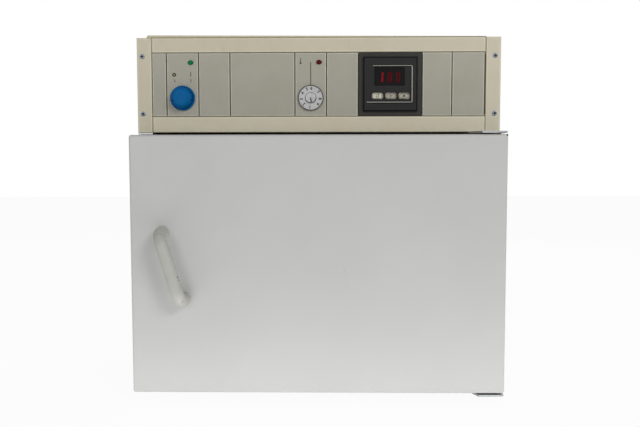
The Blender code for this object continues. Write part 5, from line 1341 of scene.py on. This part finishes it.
@dataclass
class Controller:
    """The panel controller: dark face, silver line, smoked window with digits, three keys."""

    half: float = 48.0
    rim_width: float = 1.5
    rim_depth: float = 4.7
    rim_proud: float = 0.25
    rim_rise: float = 0.1
    rim_edge: float = 0.1
    line_strips: tuple[tuple[tuple[float, float], tuple[float, float]], ...] = (
        ((-31.5, 39.6), (31.9, 32.8)), ((38.0, 39.6), (-32.9, 32.8)), ((-42.3, 39.6), (-32.9, -31.7)))
    shade_strips: tuple[tuple[tuple[float, float], tuple[float, float]], ...] = (
        ((-31.0, 37.9), (29.9, 31.4)), ((36.2, 37.9), (-31.2, 31.4)), ((-41.8, 39.6), (-34.6, -32.9)))
    line_rise: float = 0.15
    shade_rise: float = 0.08
    strip_sink: float = 0.1
    strip_edge: float = 0.05
    window_corner: float = 0.8
    window_edge: float = 0.25
    key_corner: float = 4.5
    key_edge: float = 0.5
    key_border: float = 0.9
    key_step: tuple[float, float] = (0.5, 0.35)
    key_rim: tuple[float, float] = (1.6, 1.4)
    key_face_rise: float = 0.05
    key_face_sink: float = 0.6
    key_face_corner: float = 3.0
    symbol_profile: Rings = ((2.7, -0.3), (2.7, 0.1), (2.5, 0.15))
    loop_radius: float = 2.4
    loop_bar: float = 0.5
    loop_sink: float = 0.2
    loop_start: float = 20.0
    loop_step: float = 30.0
    loop_points: int = 11
    loop_tip: Rings = ((1.9, -0.2), (1.9, 0.15), (1.7, 0.2))
    digit_foot: float = 5.9
    digit_rise: float = 0.04
    digit_width: float = 7.6
    digit_height: float = 17.6
    digit_lean: float = 8.0
    segment_inset: float = 0.9
    segment_end: float = 0.5
    segment_gap: float = 0.3
    segment_corner: float = 0.3
    digits: tuple[tuple[str, float, float], ...] = (("1", 7.4, 3.3), ("8", 22.6, 2.5), ("0", 37.2, 2.4))
    shapes: dict[str, str] = field(default_factory=lambda: {"0": "abcdef", "1": "bc", "8": "abcdefg"})

    def build(self) -> None:
        """Dress the case and model what is on its face."""
        refined("controller_case", BLACK_PLASTIC, "black_plastic", 0.15)
        self.build_rim()
        self.build_line()
        self.build_window()
        for name in ("page", "down", "up"):
            self.build_key(name)

    def face(self) -> tuple[Vector, float]:
        """Return the middle of the face, and its depth."""
        low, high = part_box("controller_case")
        return Vector(((low.x + high.x) / 2, low.y, (low.z + high.z) / 2)), low.y

    def strip(self, name: str, x: tuple[float, float], z: tuple[float, float], depth: float) -> Piece:
        """Model a flat strip on the face, between offsets from its middle in millimetres."""
        centre, front = self.face()
        low = Vector((centre.x + x[0] * MM, front - depth * MM, centre.z + z[0] * MM))
        high = Vector((centre.x + x[1] * MM, front + self.strip_sink * MM, centre.z + z[1] * MM))
        return slab(name, low, high, 0.0, self.strip_edge)

    def build_rim(self) -> None:
        """Model the black rim that outlines the bezel: painted shade for the gap round it."""
        centre, front = self.face()
        half, reach = self.half, self.half + self.rim_proud
        parts = []
        for sign in (-1, 1):
            near, far = sorted((sign * (half - self.rim_width), sign * reach))
            for x, z in (((near, far), (-reach, reach)), ((-reach, reach), (near, far))):
                low = Vector((centre.x + x[0] * MM, front - self.rim_rise * MM, centre.z + z[0] * MM))
                high = Vector((centre.x + x[1] * MM, front + self.rim_depth * MM, centre.z + z[1] * MM))
                parts.append(slab("rim_side", low, high, 0.0, self.rim_edge))
        # The rim is painted shade in the gap round the bezel.
        dress(joined("controller_gap_shade", parts), "oven", SHADE_BLACK, "black_plastic")

    def build_line(self) -> None:
        """Model the silver line round three sides of the display and the keys, and its painted shadow."""
        for name, strips, depth, finish, slot in (
                ("controller_line", self.line_strips, self.line_rise, SILVER_INK, "cream_plastic"),
                ("controller_line_shadow", self.shade_strips, self.shade_rise, SHADE_BLACK, "black_plastic")):
            parts = [self.strip(name, x, z, depth) for x, z in strips]
            dress(joined(name, parts), "oven", finish, slot)

    def build_window(self) -> None:
        """Model the smoked window and the digits that show through it."""
        low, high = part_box("controller_window")
        window = slab("display_window", low, high, self.window_corner, self.window_edge)
        dress(window, "oven", WINDOW, "window_plastic", "controller_window")
        base = Vector((low.x, low.y - self.digit_rise * MM, low.z + self.digit_foot * MM))
        for (digit, across, thick), finish in zip(self.digits, (BRIGHT_DIGIT, DIM_DIGIT, FAINT_DIGIT)):
            parts = [self.segment_bar(key, thick) for key in self.shapes[digit]]
            bar = joined(f"digit_{finish.name}", parts)
            bar.matrix_world = Matrix.Translation(base + Vector((across * MM, 0, 0))) @ self.slant()
            dress(settle(bar, weighted=False), "oven", finish, "red_lens")

    def slant(self) -> Matrix:
        """Return the matrix that leans a digit to the right."""
        lean = Matrix.Identity(4)
        lean[0][2] = math.tan(math.radians(self.digit_lean))
        return lean

    def segment_bar(self, key: str, thick: float) -> Piece:
        """Model one segment of a digit: a to f from the top, clockwise, and g across the middle."""
        wide, high, half = self.digit_width, self.digit_height, self.digit_height / 2
        across = (self.segment_inset, wide - self.segment_inset)
        left, right = (0.0, thick), (wide - thick, wide)
        lower = (self.segment_end, half - self.segment_gap)
        upper = (half + self.segment_gap, high - self.segment_end)
        spans = {
            "a": (across, (high - thick, high)), "b": (right, upper), "c": (right, lower),
            "d": (across, (0.0, thick)), "e": (left, lower), "f": (left, upper),
            "g": (across, (half - thick / 2, half + thick / 2)),
        }
        (x0, x1), (z0, z1) = spans[key]
        return slab("segment", Vector((x0, -PRINT, z0)) * MM, Vector((x1, PRINT, z1)) * MM,
                    self.segment_corner, 0.0)

    def build_key(self, name: str) -> None:
        """Model a key: a rounded cap with a raised rim, and its small symbol."""
        low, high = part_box(f"button_{name}")
        key = slab(f"key_{name}", low, high, self.key_corner, self.key_edge, 8)
        edit(key)
        front = low.y
        choose_front(key, front)
        bpy.ops.mesh.inset(thickness=self.key_border * MM, depth=0.0)
        bpy.ops.mesh.inset(thickness=self.key_step[0] * MM, depth=-self.key_step[1] * MM)
        outward(key)
        settle(key)
        dress(key, f"button_{name}", CREAM_RUBBER, "cream_plastic", f"button_{name}")
        rim = Vector((self.key_rim[0], 0, self.key_rim[1])) * MM
        face = slab(f"key_{name}_face", low + rim - Vector((0, self.key_face_rise, 0)) * MM,
                    high - rim + Vector((0, front + self.key_face_sink * MM - high.y, 0)),
                    self.key_face_corner, 0.0, 8)
        dress(face, f"button_{name}", CREAM_RUBBER if name == "page" else KEY_FACE, "cream_plastic")
        centre = Vector(((low.x + high.x) / 2, front, (low.z + high.z) / 2))
        if name == "page":
            symbol = self.loop_symbol(centre)
            finish: Finish = BLACK_INK_AND_SHADE
        else:
            symbol = turned(f"symbol_{name}", centre, self.symbol_profile, 3)
            if name == "down":
                symbol.matrix_world = (Matrix.Translation(centre) @ Matrix.Rotation(math.pi, 4, "Y")
                                       @ Matrix.Translation(-centre))
                settle(symbol, weighted=False)
            finish = BROWN_INK if name == "down" else BLACK_INK_AND_SHADE
        dress(symbol, f"button_{name}", finish, "black_plastic")

    def loop_symbol(self, centre: Vector) -> Piece:
        """Model the page key's symbol: an open ring that starts at an arrow's tip."""
        turns = [math.radians(self.loop_start + self.loop_step * step) for step in range(self.loop_points)]
        loop = [centre + Vector((math.sin(turn) * self.loop_radius, self.loop_sink,
                                 math.cos(turn) * self.loop_radius)) * MM for turn in turns]
        tip = turned("page_tip", loop[0], self.loop_tip, 3)
        return joined("symbol_page", [pipe("page_loop", loop, self.loop_bar, 8), tip])


@dataclass(frozen=True)
class Softbox:
    """A soft light: its place, target and size in millimetres, and its power in watts."""

    name: str
    place: tuple[float, float, float]
    target: tuple[float, float, float]
    size: tuple[float, float]
    power: float


@dataclass
class Studio:
    """The pale floor, the soft lights, the white surroundings and the camera."""

    place: tuple[float, float, float] = (26.3, -1562.1, 433.8)
    yaw: float = 0.01707
    pitch: float = 0.0731
    roll: float = -0.00144
    lens: float = 42.53
    sensor: float = 36.0
    near_clip: float = 0.05
    ambient: float = 0.30
    floor_shine: float = 0.95
    floor_grey: float = 0.92
    floor_size: float = 14.0
    floor_drop: float = 0.2
    softboxes: tuple[Softbox, ...] = (
        Softbox("key", (1500, -2450, 1700), (0, -250, 350), (900, 900), 25.5),
        Softbox("front_fill", (-900, -2700, 900), (-100, -250, 350), (700, 1100), 8.5),
        Softbox("table_bounce", (40, -440, 2), (40, -440, 1000), (1300, 350), 1.45),
        Softbox("rear_fill", (500, 2000, 1500), (0, 0, 300), (1600, 1600), 14.0),
    )

    def build(self) -> None:
        """Make everything round the oven."""
        self.build_camera()
        self.build_world()
        self.build_floor()
        for softbox in self.softboxes:
            self.build_softbox(softbox)

    def build_camera(self) -> None:
        """Place the camera where the photograph was taken from."""
        data = bpy.data.cameras.new("camera")
        data.sensor_width = self.sensor
        data.lens = self.lens
        data.clip_start = self.near_clip
        camera = bpy.data.objects.new("camera", data)
        camera.matrix_world = (Matrix.Translation(Vector(self.place) * MM) @ Matrix.Rotation(self.yaw, 4, "Z")
                               @ Matrix.Rotation(math.pi / 2 - self.pitch, 4, "X")
                               @ Matrix.Rotation(self.roll, 4, "Z"))
        bpy.context.scene.collection.objects.link(camera)
        bpy.context.scene.camera = camera

    def seen_directly(self, tree: Tree) -> Socket:
        """Return one for rays that show the surroundings themselves: seen, mirrored or let through."""
        light = add_node(tree, "ShaderNodeLightPath")
        seen = sums(tree, "ADD", light.outputs["Is Camera Ray"], light.outputs["Is Glossy Ray"])
        return sums(tree, "MINIMUM", sums(tree, "ADD", seen, light.outputs["Is Transmission Ray"]), 1.0)

    def build_world(self) -> None:
        """Make the surroundings white to the eye and a softer light on the oven."""
        world = bpy.data.worlds.new("studio")
        bpy.context.scene.world = world
        world.use_nodes = True
        tree = world.node_tree
        tree.nodes.clear()
        soft = add_node(tree, "ShaderNodeBackground", values={"Color": (1, 1, 1, 1), "Strength": self.ambient})
        white = add_node(tree, "ShaderNodeBackground", values={"Color": (1, 1, 1, 1), "Strength": 1.0})
        mix = add_node(tree, "ShaderNodeMixShader", links={0: self.seen_directly(tree), 1: soft.outputs[0],
                                                          2: white.outputs[0]})
        add_node(tree, "ShaderNodeOutputWorld", links={"Surface": mix.outputs[0]})

    def build_floor(self) -> None:
        """Lay the pale floor, which keeps the oven's shadow."""
        bpy.ops.object.select_all(action="DESELECT")
        level = -self.floor_drop * MM
        bpy.ops.mesh.primitive_plane_add(size=self.floor_size, location=(0, 0, level))
        floor = bpy.context.object
        floor.name = "studio_floor"
        material = bpy.data.materials.new("studio_paper")
        material.use_nodes = True
        tree = material.node_tree
        tree.nodes.clear()
        paper = add_node(tree, "ShaderNodeBsdfDiffuse", values={"Color": (self.floor_grey,) * 3 + (1,)})
        white = add_node(tree, "ShaderNodeEmission", values={"Color": (1, 1, 1, 1), "Strength": 1.0})
        share = sums(tree, "MULTIPLY", self.seen_directly(tree), self.floor_shine)
        mix = add_node(tree, "ShaderNodeMixShader", links={0: share, 1: paper.outputs[0], 2: white.outputs[0]})
        add_node(tree, "ShaderNodeOutputMaterial", links={"Surface": mix.outputs[0]})
        floor.data.materials.append(material)

    def build_softbox(self, softbox: Softbox) -> None:
        """Hang one soft light."""
        data = bpy.data.lights.new(softbox.name, "AREA")
        data.shape = "RECTANGLE"
        data.size, data.size_y = (side * MM for side in softbox.size)
        data.energy = softbox.power
        lamp = bpy.data.objects.new(softbox.name, data)
        lamp.location = Vector(softbox.place) * MM
        aim = Vector(softbox.target) * MM - lamp.location
        lamp.rotation_euler = aim.to_track_quat("-Z", "Y").to_euler()
        lamp.visible_camera = False
        bpy.context.scene.collection.objects.link(lamp)


def main() -> None:
    """Dress the oven and set the studio round it."""
    logging.basicConfig(level=logging.INFO, format="%(name)s: %(message)s")
    bpy.context.scene.view_settings.view_transform = "Standard"
    Studio().build()
    for part in (Cabinet(), Chamber(), Door(), ControlFrame(), FrontPanels(), SwitchAndLimiter(), Controller()):
        part.build()
        log.info("%s is done", type(part).__name__)


if __name__ == "__main__":
    main()
